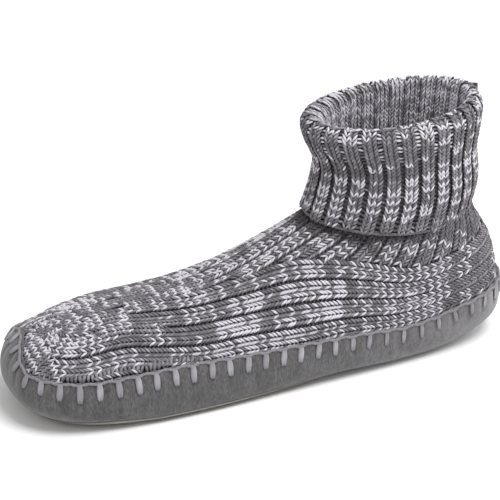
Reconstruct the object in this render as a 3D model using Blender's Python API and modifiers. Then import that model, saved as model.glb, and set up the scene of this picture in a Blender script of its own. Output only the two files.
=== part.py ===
"""Slipper sock: ribbed knitted upper with a turned-down cuff, suede cup sole, insole and back tab."""
from typing import NamedTuple

import bmesh
import bpy
import numpy as np

MM = 0.001

# Driving sizes in millimetres: toe towards -X, heel towards +X, floor at Z = 0
KNIT_WALL = 2.6
SUEDE_WALL = 1.9
CLEARANCE = 0.3
SOLE_FLOOR = 2.6
INSOLE_THICK = 3.0
INSOLE_INSET = 0.5
TUCK = 13.0
MID_LENGTH_X = 1.07

# Toe: the ball's section closes along a superellipse to a tip, which curves to the inner side
TIP_X = -123.6
TIP_Z = 18.5
TOE_TOP_Z = 42.5
TOE_PLAN_POWER = 2.65
TOE_SIDE_POWER = 2.6
TOE_RINGS = 9
TOE_LAST_RING = 9.15
TOE_RISE_OF_WIDEST = 0.12
TOE_LOSS_OF_ROUND = 0.9
TOE_SWAY = 4.3
TOE_LOBE_RISE = 9.0
TOE_LOBE_HALF = 28.0
TOE_LOBE_SIDE = 8.0

# Back tab: a strip that follows the back of the cuff and stands up behind its fold, its top aslant
TAB_WIDTH = 7.0
TAB_CENTRE_Y = 5.0
TAB_THICK = 1.0
TAB_TOP_Z = 124.7
TAB_SLANT = 0.35
TAB_FIRST_ROW = 6
TAB_COLUMNS = 5

# Mesh: points around a section, steps between table rows
AROUND = 48
RING_FINENESS = 12
STEPS = 2


class Section(NamedTuple):
    """One section of the last: a closed oval between a front or top point and a back or bottom point."""

    front_x: float
    front_z: float
    back_x: float
    back_z: float
    half_width: float
    widest: float
    round_low: float
    round_high: float
    droop: float = 0.0


class EdgePoint(NamedTuple):
    """Height of the suede's top edge at one place along the foot."""

    x: float
    z: float


LAST = (
    Section(-58.0, 46.0, -58.0, -1.5, 41.0, 0.29, 3.2, 2.1),
    Section(-32.0, 48.5, -30.0, -1.5, 40.0, 0.28, 3.2, 2.1),
    Section(-8.0, 55.5, 2.0, -0.5, 38.0, 0.27, 3.2, 2.1),
    Section(8.5, 63.0, 34.0, 1.2, 35.7, 0.27, 3.5, 2.1),
    Section(21.5, 69.6, 66.0, -0.8, 33.6, 0.30, 3.3, 2.1),
    Section(31.5, 75.5, 98.0, -0.4, 32.3, 0.335, 2.6, 2.1),
    Section(36.0, 82.5, 122.8, 10.2, 32.0, 0.37, 2.3, 2.1),
    Section(37.5, 89.5, 126.0, 31.0, 30.5, 0.41, 2.2, 2.1),
    Section(37.8, 96.0, 122.5, 50.0, 29.0, 0.455, 2.1, 2.1),
    Section(37.5, 102.0, 113.0, 69.0, 26.8, 0.5, 2.0, 2.0),
    Section(36.5, 109.0, 110.5, 92.0, 26.0, 0.5, 2.0, 2.0),
    Section(35.0, 118.0, 112.0, 120.0, 26.2, 0.5, 2.0, 2.0),
)

# Outer face of the turned-down cuff, from its hem up to the crest of the fold
CUFF = (
    Section(27.0, 75.0, 112.0, 67.5, 30.8, 0.5, 2.0, 2.0, 2.0),
    Section(30.5, 85.0, 116.0, 84.0, 30.5, 0.5, 2.0, 2.0, 1.0),
    Section(33.0, 99.0, 115.0, 99.0, 29.5, 0.5, 2.0, 2.0),
    Section(28.5, 110.5, 116.5, 112.5, 31.0, 0.5, 2.0, 2.0),
    Section(26.5, 118.0, 117.0, 121.5, 31.0, 0.5, 2.0, 2.0, 0.6),
    Section(30.5, 122.0, 113.0, 126.0, 26.5, 0.5, 2.0, 2.0, 1.2),
)

SUEDE_EDGE = (
    EdgePoint(-128.0, 27.3),
    EdgePoint(-100.0, 25.8),
    EdgePoint(-65.0, 26.6),
    EdgePoint(-10.0, 25.4),
    EdgePoint(20.0, 24.2),
    EdgePoint(45.0, 22.7),
    EdgePoint(66.0, 21.3),
    EdgePoint(80.0, 22.8),
    EdgePoint(95.0, 26.4),
    EdgePoint(112.0, 29.0),
    EdgePoint(130.0, 29.5),
)

# Reach of the cutters, well past the sock on every side
CUT_HALF_LENGTH = 150.0
CUT_HALF_WIDTH = 70.0
CUT_TOP_Z = 190.0
CUT_LOW_Z = -30.0
CUT_STEPS = 60
CUT_COLUMNS = 11


def column(name: str) -> int:
    """Position of a named column in a section's row."""
    return Section._fields.index(name)


def grown(rows: np.ndarray, grow: float) -> np.ndarray:
    """Sections moved outward by grow in their own planes, with their widest line kept in place."""
    out = rows.copy()
    front = slice(column("front_x"), column("front_z") + 1)
    back = slice(column("back_x"), column("back_z") + 1)
    span = rows[:, front] - rows[:, back]
    length = np.linalg.norm(span, axis=1)
    unit = span / length[:, None]
    out[:, front] += unit * grow
    out[:, back] -= unit * grow
    out[:, column("half_width")] += grow
    widest = rows[:, column("widest")]
    out[:, column("widest")] = (widest * length + grow) / (length + 2.0 * grow)
    return out


def toe_sections(ball: Section, grow: float) -> list:
    """Sections from the tip of the toe back to the ball."""
    tip_x = TIP_X - grow
    rows = []
    for number in range(TOE_RINGS, 0, -1):
        reach = np.sin(0.5 * np.pi * number / TOE_LAST_RING)
        x = ball.front_x + (tip_x - ball.front_x) * reach
        plan = (1.0 - reach**TOE_PLAN_POWER) ** (1.0 / TOE_PLAN_POWER)
        side = (1.0 - reach**TOE_SIDE_POWER) ** (1.0 / TOE_SIDE_POWER)
        top = ball.front_z + (TOE_TOP_Z + grow - ball.front_z) * reach
        rows.append(
            Section(
                x,
                TIP_Z + (top - TIP_Z) * side,
                x,
                TIP_Z + (ball.back_z - TIP_Z) * side,
                ball.half_width * plan,
                ball.widest + TOE_RISE_OF_WIDEST * reach,
                ball.round_low - TOE_LOSS_OF_ROUND * reach,
                ball.round_high,
            )
        )
    return rows


def last_form(grow: float) -> np.ndarray:
    """Rows of the whole last, toe to top of the leg, moved outward by grow."""
    body = grown(np.array(LAST), grow)
    toe = toe_sections(Section(*body[0]), grow)
    return np.vstack([np.array(toe), body])


def between(rows: np.ndarray, steps: int) -> np.ndarray:
    """Rows with steps - 1 more between each pair, on a Catmull-Rom curve."""
    padded = np.vstack([rows[:1], rows, rows[-1:]])
    out = []
    for before, start, end, after in zip(padded, padded[1:], padded[2:], padded[3:]):
        for f in np.arange(steps) / steps:
            slope = (end - before) * f
            bend = (2.0 * before - 5.0 * start + 4.0 * end - after) * f**2
            twist = (3.0 * start - before - 3.0 * end + after) * f**3
            out.append(start + 0.5 * (slope + bend + twist))
    out.append(rows[-1])
    return np.array(out)


def signed_power(value: np.ndarray, power: np.ndarray) -> np.ndarray:
    """Power of the size of a value, with the value's sign."""
    return np.sign(value) * np.abs(value) ** power


def section_points(row: np.ndarray, turn: np.ndarray) -> np.ndarray:
    """Points of one section at turns from its front or top point, in millimetres."""
    section = Section(*row)
    power = 2.0 / np.where(np.cos(turn) >= 0.0, section.round_high, section.round_low)
    along = signed_power(np.cos(turn), power)
    across = signed_power(np.sin(turn), power)
    part = np.where(along >= 0.0, 1.0 - section.widest, section.widest)
    along = section.widest + part * along
    x = section.back_x + (section.front_x - section.back_x) * along
    z = section.back_z + (section.front_z - section.back_z) * along
    z = z - section.droop * np.sin(turn) ** 2
    return np.stack([x - MID_LENGTH_X, sway(x) - section.half_width * across, z], axis=1)


def toe_reach(x: np.ndarray) -> np.ndarray:
    """Share of the way from the ball to the tip, nought behind the ball."""
    ball_x = LAST[0].front_x
    return np.clip((x - ball_x) / (TIP_X - ball_x), 0.0, None)


def sway(x: np.ndarray) -> np.ndarray:
    """Sideways place of the foot's middle line over x: straight, then curved from the ball to the tip."""
    return -TOE_SWAY * toe_reach(x) ** 2


def ring(row: np.ndarray) -> np.ndarray:
    """Points evenly spaced around one section, from its front or top point."""
    points = section_points(row, np.linspace(0.0, 2.0 * np.pi, AROUND * RING_FINENESS + 1))
    walked = np.concatenate([[0.0], np.cumsum(np.linalg.norm(np.diff(points, axis=0), axis=1))])
    even = np.linspace(0.0, walked[-1], AROUND, endpoint=False)
    return np.stack([np.interp(even, walked, points[:, axis]) for axis in range(3)], axis=1)


def tip(grow: float) -> np.ndarray:
    """The foremost point of the toe."""
    return np.array([TIP_X - grow - MID_LENGTH_X, sway(TIP_X - grow), TIP_Z])


def edge_height(x: np.ndarray, y: np.ndarray) -> np.ndarray:
    """Height of the suede's top edge: a smooth curve through its table, and a lobe over the toe's tip."""
    xs, zs = np.array(SUEDE_EDGE).T
    slopes = np.gradient(zs, xs)
    left = np.clip(np.searchsorted(xs, x) - 1, 0, len(xs) - 2)
    width = xs[left + 1] - xs[left]
    f = np.clip((x - xs[left]) / width, 0.0, 1.0)
    rise = zs[left] * (1.0 + 2.0 * f) * (1.0 - f) ** 2 + zs[left + 1] * f**2 * (3.0 - 2.0 * f)
    lean = width * f * (1.0 - f) * (slopes[left] * (1.0 - f) - slopes[left + 1] * f)
    beside = np.clip(np.abs(y - sway(x) - TOE_LOBE_SIDE) / TOE_LOBE_HALF, 0.0, 1.0)
    lobe = 0.5 * TOE_LOBE_RISE * (1.0 + np.cos(np.pi * beside)) * np.clip(2.0 * toe_reach(x), 0.0, 1.0)
    return rise + lean + lobe


def named_collection(name: str) -> bpy.types.Collection:
    """A new collection in the scene."""
    collection = bpy.data.collections.new(name)
    bpy.context.scene.collection.children.link(collection)
    return collection


def material(name: str, colour: tuple, roughness: float) -> bpy.types.Material:
    """A matt cloth or leather."""
    made = bpy.data.materials.new(name)
    made.use_nodes = True
    shader = made.node_tree.nodes["Principled BSDF"]
    shader.inputs["Base Color"].default_value = (*colour, 1.0)
    shader.inputs["Roughness"].default_value = roughness
    shader.inputs["Metallic"].default_value = 0.0
    return made


def mesh_object(name: str, bm: bmesh.types.BMesh, collection: bpy.types.Collection) -> bpy.types.Object:
    """A closed body from a bmesh, with its normals outward."""
    bmesh.ops.recalc_face_normals(bm, faces=bm.faces)
    return sheet_object(name, bm, collection)


def sheet_object(name: str, bm: bmesh.types.BMesh, collection: bpy.types.Collection) -> bpy.types.Object:
    """An object from a bmesh as it is wound, smoothly shaded."""
    mesh = bpy.data.meshes.new(name)
    bm.to_mesh(mesh)
    bm.free()
    mesh.polygons.foreach_set("use_smooth", [True] * len(mesh.polygons))
    made = bpy.data.objects.new(name, mesh)
    collection.objects.link(made)
    return made


def loft(name: str, rings: list, ends: tuple, collection: bpy.types.Collection) -> bpy.types.Object:
    """A closed skin through rings of points, drawn to a point at each end."""
    bm = bmesh.new()
    rows = [[bm.verts.new(point * MM) for point in points] for points in rings]
    for low, high in zip(rows, rows[1:]):
        for here in range(AROUND):
            after = (here + 1) % AROUND
            bm.faces.new((low[here], low[after], high[after], high[here]))
    for row, end in zip((rows[0], rows[-1]), ends):
        pole = bm.verts.new(end * MM)
        for here in range(AROUND):
            bm.faces.new((row[here], row[(here + 1) % AROUND], pole))
    return mesh_object(name, bm, collection)


def last_rows(grow: float) -> np.ndarray:
    """Rows of the mesh: the toe's own, then the rest of the last with steps between."""
    rows = between(last_form(grow), STEPS)
    toe_end = STEPS * TOE_RINGS
    return np.vstack([rows[:toe_end:STEPS], rows[toe_end:]])


def last_loft(name: str, grow: float, collection: bpy.types.Collection) -> bpy.types.Object:
    """The whole last as one filled form, grown by grow."""
    rings = [ring(row) for row in last_rows(grow)]
    return loft(name, rings, (tip(grow), rings[-1].mean(axis=0)), collection)


def prism(name: str, outline: np.ndarray, collection: bpy.types.Collection) -> bpy.types.Object:
    """An outline in X and Z drawn right across the sock."""
    bm = bmesh.new()
    side = [bm.verts.new((x * MM, -CUT_HALF_WIDTH * MM, z * MM)) for x, z in outline]
    face = bm.faces.new(side)
    grown_faces = bmesh.ops.extrude_face_region(bm, geom=[face])
    moved = [item for item in grown_faces["geom"] if isinstance(item, bmesh.types.BMVert)]
    bmesh.ops.translate(bm, verts=moved, vec=(0.0, 2.0 * CUT_HALF_WIDTH * MM, 0.0))
    return mesh_object(name, bm, collection)


def edge_block(name: str, drop: float, far_z: float, collection: bpy.types.Collection) -> bpy.types.Object:
    """Everything between the suede's edge, lowered by drop, and a far height."""
    middle = np.linspace(-TOE_LOBE_HALF, TOE_LOBE_HALF, CUT_COLUMNS) + TOE_LOBE_SIDE - TOE_SWAY
    columns = np.concatenate([[-CUT_HALF_WIDTH], middle, [CUT_HALF_WIDTH]])
    bm = bmesh.new()
    rows = []
    for x in np.linspace(-CUT_HALF_LENGTH, CUT_HALF_LENGTH, CUT_STEPS):
        heights = edge_height(x, columns) - drop
        places = [(x - MID_LENGTH_X, y, z) for y, z in zip(columns, heights)]
        rows.append([bm.verts.new(np.array(place) * MM) for place in places])
    for low, high in zip(rows, rows[1:]):
        for here in range(len(columns) - 1):
            bm.faces.new((low[here], low[here + 1], high[here + 1], high[here]))
    grown_faces = bmesh.ops.extrude_face_region(bm, geom=list(bm.faces))
    for item in grown_faces["geom"]:
        if isinstance(item, bmesh.types.BMVert):
            item.co.z = far_z * MM
    return mesh_object(name, bm, collection)


def slab(name: str, low: float, high: float, collection: bpy.types.Collection) -> bpy.types.Object:
    """A level layer between two heights."""
    reach = CUT_HALF_LENGTH
    outline = np.array([[-reach, low], [reach, low], [reach, high], [-reach, high]])
    return prism(name, outline, collection)


def boolean(target: bpy.types.Object, tool: bpy.types.Object, operation: str) -> None:
    """Cut or intersect a part with a hidden wire tool."""
    tool.hide_render = True
    tool.display_type = "WIRE"
    cut = target.modifiers.new(tool.name, "BOOLEAN")
    cut.operation = operation
    cut.solver = "EXACT"
    cut.object = tool


def fold_row(leg_top: np.ndarray, cuff_inside: np.ndarray, crest: np.ndarray) -> np.ndarray:
    """Underside of the fold: half-way between leg and cuff, one wall below the crest."""
    row = 0.5 * (leg_top + cuff_inside)
    for name in ("front_z", "back_z"):
        row[column(name)] = crest[column(name)] - KNIT_WALL
    return row


def build_upper(parts: bpy.types.Collection, cutters: bpy.types.Collection) -> bpy.types.Object:
    """Foot, leg and turned-down cuff as one hollow knitted wall."""
    outside = last_rows(0.0)
    inside = last_rows(-KNIT_WALL)
    cuff = np.array(CUFF)
    cuff_inside = grown(cuff[:-1], -KNIT_WALL)
    under_fold = fold_row(outside[-1], cuff_inside[-1], cuff[-1])
    rows = np.vstack(
        [
            outside,
            under_fold[None, :],
            between(cuff_inside, STEPS)[::-1],
            between(cuff, STEPS),
            inside[::-1],
        ]
    )
    upper = loft("knit_upper", [ring(row) for row in rows], (tip(0.0), tip(-KNIT_WALL)), parts)
    boolean(upper, edge_block("upper_underside_cut", TUCK, CUT_LOW_Z, cutters), "DIFFERENCE")
    return upper


def build_sole(parts: bpy.types.Collection, cutters: bpy.types.Collection) -> bpy.types.Object:
    """Suede cup: the grown last, hollowed by the foot and cut off at the edge line."""
    sole = last_loft("suede_sole", CLEARANCE + SUEDE_WALL, parts)
    hollow = last_loft("sole_hollow", CLEARANCE, cutters)
    boolean(hollow, slab("hollow_floor_cut", CUT_LOW_Z, SOLE_FLOOR, cutters), "DIFFERENCE")
    boolean(sole, hollow, "DIFFERENCE")
    boolean(sole, edge_block("sole_edge_cut", 0.0, CUT_TOP_Z, cutters), "DIFFERENCE")
    boolean(sole, slab("sole_floor_cut", CUT_LOW_Z, 0.0, cutters), "DIFFERENCE")
    return sole


def build_insole(parts: bpy.types.Collection, cutters: bpy.types.Collection) -> bpy.types.Object:
    """Pad that lies in the cup under the foot."""
    low = SOLE_FLOOR + CLEARANCE
    pad = last_loft("insole", -INSOLE_INSET, parts)
    boolean(pad, slab("insole_layer", low, low + INSOLE_THICK, cutters), "INTERSECT")
    return pad


def build_tab(parts: bpy.types.Collection) -> bpy.types.Object:
    """Plain strip just clear of the back of the cuff, raised behind its fold."""
    rows = between(grown(np.array(CUFF[:-1]), CLEARANCE), STEPS)[TAB_FIRST_ROW:]
    top = rows[-1].copy()
    top[column("back_z")] = TAB_TOP_Z
    rows = np.vstack([rows, top])
    across = TAB_CENTRE_Y + TAB_WIDTH * np.linspace(-0.5, 0.5, TAB_COLUMNS)
    turns = [np.pi + np.arcsin(across / row[column("half_width")]) for row in rows]
    levels = [section_points(row, turn) for row, turn in zip(rows, turns)]
    levels[-1][:, 2] += TAB_SLANT * (TAB_CENTRE_Y - across)
    bm = bmesh.new()
    lines = [[bm.verts.new(point * MM) for point in level] for level in levels]
    for low, high in zip(lines, lines[1:]):
        for here in range(TAB_COLUMNS - 1):
            bm.faces.new((low[here], low[here + 1], high[here + 1], high[here]))
    tab = sheet_object("back_tab", bm, parts)
    wall = tab.modifiers.new("ribbon", "SOLIDIFY")
    wall.thickness = TAB_THICK * MM
    wall.offset = 1.0
    return tab


def main() -> None:
    """Clear the scene and build the four pieces."""
    for old in list(bpy.data.objects):
        bpy.data.objects.remove(old, do_unlink=True)
    parts = named_collection("slipper_sock")
    cutters = named_collection("cutters")
    knit = material("marled_knit", (0.25, 0.24, 0.26), 0.95)
    suede = material("grey_suede", (0.16, 0.155, 0.158), 0.9)
    felt = material("grey_felt", (0.12, 0.118, 0.122), 0.95)
    ribbon = material("dark_ribbon", (0.05, 0.05, 0.055), 0.85)
    build_upper(parts, cutters).data.materials.append(knit)
    build_sole(parts, cutters).data.materials.append(suede)
    build_insole(parts, cutters).data.materials.append(felt)
    build_tab(parts).data.materials.append(ribbon)


main()
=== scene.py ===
"""Slipper sock: marled rib knit with a turned-down cuff on a blanket-stitched suede cup."""

import logging
import math
from dataclasses import asdict, dataclass, field, fields, replace
from enum import Enum
from typing import NamedTuple

import bmesh
import bpy
import numpy as np
from bpy.types import Material, Node, NodeSocket, NodeTree, Object
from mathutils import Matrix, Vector
from mathutils.bvhtree import BVHTree


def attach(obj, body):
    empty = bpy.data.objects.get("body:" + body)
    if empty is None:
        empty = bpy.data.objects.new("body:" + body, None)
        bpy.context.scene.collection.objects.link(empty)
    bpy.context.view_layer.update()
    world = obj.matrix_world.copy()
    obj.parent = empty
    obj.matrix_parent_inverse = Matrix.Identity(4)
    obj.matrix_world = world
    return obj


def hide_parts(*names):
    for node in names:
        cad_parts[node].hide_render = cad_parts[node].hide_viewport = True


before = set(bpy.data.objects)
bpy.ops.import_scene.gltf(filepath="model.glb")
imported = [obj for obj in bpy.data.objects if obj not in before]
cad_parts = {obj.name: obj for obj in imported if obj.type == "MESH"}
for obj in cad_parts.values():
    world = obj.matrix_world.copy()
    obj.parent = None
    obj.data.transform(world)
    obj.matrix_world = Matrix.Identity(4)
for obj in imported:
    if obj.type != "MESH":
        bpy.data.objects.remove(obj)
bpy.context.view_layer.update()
LOG = logging.getLogger("slipper_sock")
MM = 0.001
WELD = 1e-6
FAR = np.array([1.0, -1.0, 1.0])
BODY = "root"
Array = np.ndarray
Span = tuple[float, float]
Triple = tuple[float, float, float]
Table = tuple[Span, ...]
Stops = tuple[tuple[float, tuple], ...]


class Section(NamedTuple):
    """One section of the last: a closed oval between a front or top point and a back or bottom point."""

    front_x: float
    front_z: float
    back_x: float
    back_z: float
    half_width: float
    widest: float
    round_low: float
    round_high: float
    droop: float = 0.0


class EdgePoint(NamedTuple):
    """Height of the suede's top edge at one place along the foot."""

    x: float
    z: float


class Crease(NamedTuple):
    """Lie of the ribs above the suede at one place along the foot."""

    x: float
    first: float
    pitch: float


class Slot(Enum):
    """Material slots of the record."""

    KNIT = "knit"
    SUEDE = "suede"
    FELT = "felt"
    RIBBON = "ribbon"


def unit(vectors: Array) -> Array:
    """Vectors scaled to length one."""
    return vectors / np.maximum(np.linalg.norm(vectors, axis=-1, keepdims=True), 1e-12)


def smooth(low: float, high: float, value: Array) -> Array:
    """A soft step from 0 at low to 1 at high."""
    f = np.clip((value - low) / (high - low), 0.0, 1.0)
    return f * f * (3.0 - 2.0 * f)


def walked(points: Array) -> Array:
    """Distance along a line of points, from its first one."""
    steps = np.linalg.norm(np.diff(points, axis=0), axis=1)
    return np.concatenate([[0.0], np.cumsum(steps)])


def curve_through(xs: Array, values: Array, at: Array) -> Array:
    """A smooth curve through points.

    Args:
        xs: places of the points, rising.
        values: their values.
        at: where the curve is read.

    Returns:
        The values there, level beyond the ends.
    """
    slopes = np.gradient(values, xs)
    left = np.clip(np.searchsorted(xs, at) - 1, 0, len(xs) - 2)
    width = xs[left + 1] - xs[left]
    f = np.clip((at - xs[left]) / width, 0.0, 1.0)
    rise = values[left] * (1.0 + 2.0 * f) * (1.0 - f) ** 2 + values[left + 1] * f**2 * (3.0 - 2.0 * f)
    return rise + width * f * (1.0 - f) * (slopes[left] * (1.0 - f) - slopes[left + 1] * f)


def share_at(table: Table, place: Array) -> Array:
    """Share of the yarn that shows white, from a short table of places along the knitting and shares."""
    places, shares = np.array(table).T
    return np.interp(place, places, shares)


def grid_faces(rows: int, columns: int) -> list:
    """Quads between open rows of points."""
    faces = []
    for low in range(0, (rows - 1) * columns, columns):
        for here in range(low, low + columns - 1):
            faces.append((here, here + 1, here + columns + 1, here + columns))
    return faces


def add_node(tree: NodeTree, kind: str, inputs: dict, **settings: object) -> Node:
    """A new node with its settings made and its inputs linked or set.

    Args:
        tree: the tree that it goes into.
        kind: type of the node.
        inputs: a socket or a value for each input, by name or number.
        settings: the node's own settings.

    Returns:
        The node.
    """
    node = tree.nodes.new(kind)
    for name, value in settings.items():
        setattr(node, name, value)
    for name, value in inputs.items():
        if isinstance(value, NodeSocket):
            tree.links.new(value, node.inputs[name])
        else:
            node.inputs[name].default_value = value
    return node


def math_node(tree: NodeTree, operation: str, first: object, second: object) -> NodeSocket:
    """Output of a math node on two sockets or numbers."""
    return add_node(tree, "ShaderNodeMath", {0: first, 1: second}, operation=operation).outputs[0]


@dataclass(frozen=True)
class Last:
    """The form that the sock is knitted and sewn on, in millimetres."""

    mid_length_x: float = 1.07
    tip_x: float = -123.6
    tip_z: float = 18.5
    toe_top_z: float = 42.5
    toe_plan_power: float = 2.65
    toe_side_power: float = 2.6
    toe_rings: int = 9
    toe_last_ring: float = 9.15
    toe_rise_of_widest: float = 0.12
    toe_loss_of_round: float = 0.9
    toe_sway: float = 4.3
    toe_lobe_rise: float = 9.0
    toe_lobe_half: float = 28.0
    toe_lobe_side: float = 8.0
    knit_wall: float = 2.6
    suede_wall: float = 1.9
    clearance: float = 0.3
    sole_floor: float = 2.6
    insole_thick: float = 3.0
    sections: tuple[Section, ...] = (
        Section(-58.0, 46.0, -58.0, -1.5, 41.0, 0.29, 3.2, 2.1),
        Section(-32.0, 48.5, -30.0, -1.5, 40.0, 0.28, 3.2, 2.1),
        Section(-8.0, 55.5, 2.0, -0.5, 38.0, 0.27, 3.2, 2.1),
        Section(8.5, 63.0, 34.0, 1.2, 35.7, 0.27, 3.5, 2.1),
        Section(21.5, 69.6, 66.0, -0.8, 33.6, 0.30, 3.3, 2.1),
        Section(31.5, 75.5, 98.0, -0.4, 32.3, 0.335, 2.6, 2.1),
        Section(36.0, 82.5, 122.8, 10.2, 32.0, 0.37, 2.3, 2.1),
        Section(37.5, 89.5, 126.0, 31.0, 30.5, 0.41, 2.2, 2.1),
        Section(37.8, 96.0, 122.5, 50.0, 29.0, 0.455, 2.1, 2.1),
        Section(37.5, 102.0, 113.0, 69.0, 26.8, 0.5, 2.0, 2.0),
        Section(36.5, 109.0, 110.5, 92.0, 26.0, 0.5, 2.0, 2.0),
        Section(35.0, 118.0, 112.0, 120.0, 26.2, 0.5, 2.0, 2.0),
    )
    cuff: tuple[Section, ...] = (
        Section(27.0, 75.0, 112.0, 67.5, 30.8, 0.5, 2.0, 2.0, 2.0),
        Section(30.5, 85.0, 116.0, 84.0, 30.5, 0.5, 2.0, 2.0, 1.0),
        Section(33.0, 99.0, 115.0, 99.0, 29.5, 0.5, 2.0, 2.0),
        Section(28.5, 110.5, 116.5, 112.5, 31.0, 0.5, 2.0, 2.0),
        Section(26.5, 118.0, 117.0, 121.5, 31.0, 0.5, 2.0, 2.0, 0.6),
        Section(30.5, 122.0, 113.0, 126.0, 26.5, 0.5, 2.0, 2.0, 1.2),
    )
    suede_edge: tuple[EdgePoint, ...] = (
        EdgePoint(-128.0, 27.3),
        EdgePoint(-100.0, 25.8),
        EdgePoint(-65.0, 26.6),
        EdgePoint(-10.0, 25.4),
        EdgePoint(20.0, 24.2),
        EdgePoint(45.0, 22.7),
        EdgePoint(66.0, 21.3),
        EdgePoint(80.0, 22.8),
        EdgePoint(95.0, 26.4),
        EdgePoint(112.0, 29.0),
        EdgePoint(130.0, 29.5),
    )

    def grown(self, rows: Array, grow: float) -> Array:
        """Sections moved outward in their own planes.

        Args:
            rows: sections, one to a row.
            grow: distance outward, or inward where negative.

        Returns:
            The moved rows, with each widest line kept in place.
        """
        out = rows.copy()
        span = rows[:, 0:2] - rows[:, 2:4]
        length = np.linalg.norm(span, axis=1)
        step = span / length[:, None] * grow
        out[:, 0:2] += step
        out[:, 2:4] -= step
        out[:, 4] += grow
        out[:, 5] = (rows[:, 5] * length + grow) / (length + 2.0 * grow)
        return out

    def rows(self, grow: float) -> Array:
        """Sections of the whole last, toe to top of the leg.

        Args:
            grow: distance outward from the knitted face.

        Returns:
            One section to a row, the toe's first.
        """
        body = self.grown(np.array(self.sections), grow)
        ball = Section(*body[0])
        toe = []
        for number in range(self.toe_rings, 0, -1):
            reach = math.sin(0.5 * math.pi * number / self.toe_last_ring)
            x = ball.front_x + (self.tip_x - grow - ball.front_x) * reach
            plan = (1.0 - reach**self.toe_plan_power) ** (1.0 / self.toe_plan_power)
            side = (1.0 - reach**self.toe_side_power) ** (1.0 / self.toe_side_power)
            top = ball.front_z + (self.toe_top_z + grow - ball.front_z) * reach
            toe.append(
                Section(
                    x,
                    self.tip_z + (top - self.tip_z) * side,
                    x,
                    self.tip_z + (ball.back_z - self.tip_z) * side,
                    ball.half_width * plan,
                    ball.widest + self.toe_rise_of_widest * reach,
                    ball.round_low - self.toe_loss_of_round * reach,
                    ball.round_high,
                )
            )
        return np.vstack([np.array(toe), body])

    def toe_reach(self, x: Array) -> Array:
        """Share of the way from the ball to the tip, nought behind the ball."""
        ball_x = self.sections[0].front_x
        return np.clip((x + self.mid_length_x - ball_x) / (self.tip_x - ball_x), 0.0, None)

    def swayed(self, points: Array) -> Array:
        """Points of the straight foot, moved sideways where its toe curves to the inner side."""
        moved = points.copy()
        moved[..., 1] -= self.toe_sway * self.toe_reach(points[..., 0]) ** 2
        return moved

    def edge_height(self, x: Array, y: Array) -> Array:
        """Height of the suede's top edge.

        Args:
            x: places along the foot.
            y: places across the straight foot.

        Returns:
            The smooth curve through the edge's table, with a lobe over the toe's tip.
        """
        xs, zs = np.array(self.suede_edge).T
        beside = np.clip(np.abs(y - self.toe_lobe_side) / self.toe_lobe_half, 0.0, 1.0)
        lobe = 0.5 * self.toe_lobe_rise * (1.0 + np.cos(math.pi * beside))
        lobe = lobe * np.clip(2.0 * self.toe_reach(x), 0.0, 1.0)
        return curve_through(xs - self.mid_length_x, zs, x) + lobe


@dataclass
class Skin:
    """A smooth surface through rows of sections, read at a place along the rows and a turn around them."""

    rows: Array
    mid_x: float
    nudge: float = 2e-3

    def row_at(self, place: Array) -> Array:
        """Sections between the rows, on a Catmull-Rom curve."""
        last = len(self.rows) - 1
        first = np.clip(np.floor(place).astype(int), 0, last - 1)
        f = (np.clip(place, 0.0, last) - first)[..., None]
        before = self.rows[np.maximum(first - 1, 0)]
        start = self.rows[first]
        end = self.rows[first + 1]
        after = self.rows[np.minimum(first + 2, last)]
        slope = (end - before) * f
        bend = (2.0 * before - 5.0 * start + 4.0 * end - after) * f**2
        twist = (3.0 * start - before - 3.0 * end + after) * f**3
        return start + 0.5 * (slope + bend + twist)

    def at(self, place: Array, turn: Array) -> Array:
        """Points of the surface.

        Args:
            place: position along the rows.
            turn: angle around the section from its front or top point, in radians.

        Returns:
            Points in millimetres, with X, Y and Z last.
        """
        place, turn = np.broadcast_arrays(np.asarray(place, float), np.asarray(turn, float))
        row = np.moveaxis(self.row_at(place), -1, 0)
        front_x, front_z, back_x, back_z, half, widest, low, high, droop = row
        cosine = np.cos(turn)
        sine = np.sin(turn)
        power = 2.0 / np.where(cosine >= 0.0, high, low)
        along = np.sign(cosine) * np.abs(cosine) ** power
        across = np.sign(sine) * np.abs(sine) ** power
        along = widest + np.where(along >= 0.0, 1.0 - widest, widest) * along
        x = back_x + (front_x - back_x) * along - self.mid_x
        z = back_z + (front_z - back_z) * along - droop * sine**2
        return np.stack([x, -half * across, z], axis=-1)

    def slopes(self, place: Array, turn: Array) -> tuple[Array, Array]:
        """Directions along the rows and around the section, of length one."""
        step = self.nudge
        top = len(self.rows) - 1
        ahead = self.at(np.minimum(place + step, top), turn) - self.at(np.maximum(place - step, 0.0), turn)
        around = self.at(place, turn + step) - self.at(place, turn - step)
        return unit(ahead), unit(around)

    def tree(self, places: int, turns: int) -> BVHTree:
        """The surface as a search tree, closed at the toe, in millimetres."""
        place = np.linspace(0.0, len(self.rows) - 1.0, places)
        turn = np.linspace(0.0, 2.0 * math.pi, turns)
        grid = self.at(place[:, None], turn[None, :])
        tip = self.at(np.zeros(2), np.array([0.0, math.pi])).mean(axis=0)
        points = np.vstack([grid.reshape(-1, 3), tip])
        faces = [(len(points) - 1, j + 1, j) for j in range(turns - 1)]
        return BVHTree.FromPolygons(points.tolist(), faces + grid_faces(places, turns))


@dataclass
class Yarn:
    """Places, directions, sizes and shades of many short lengths of yarn."""

    lots: list = field(default_factory=list)

    def add(self, place: Array, forward: Array, outward: Array, size: Array, shade: Array) -> None:
        """Add some lengths of yarn, in millimetres."""
        self.lots.append((place, forward, outward, size, shade))

    def stacked(self) -> dict[str, Array]:
        """All values as arrays by name."""
        names = ("place", "forward", "outward", "size", "shade")
        return {name: np.concatenate(values) for name, values in zip(names, zip(*self.lots))}


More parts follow.
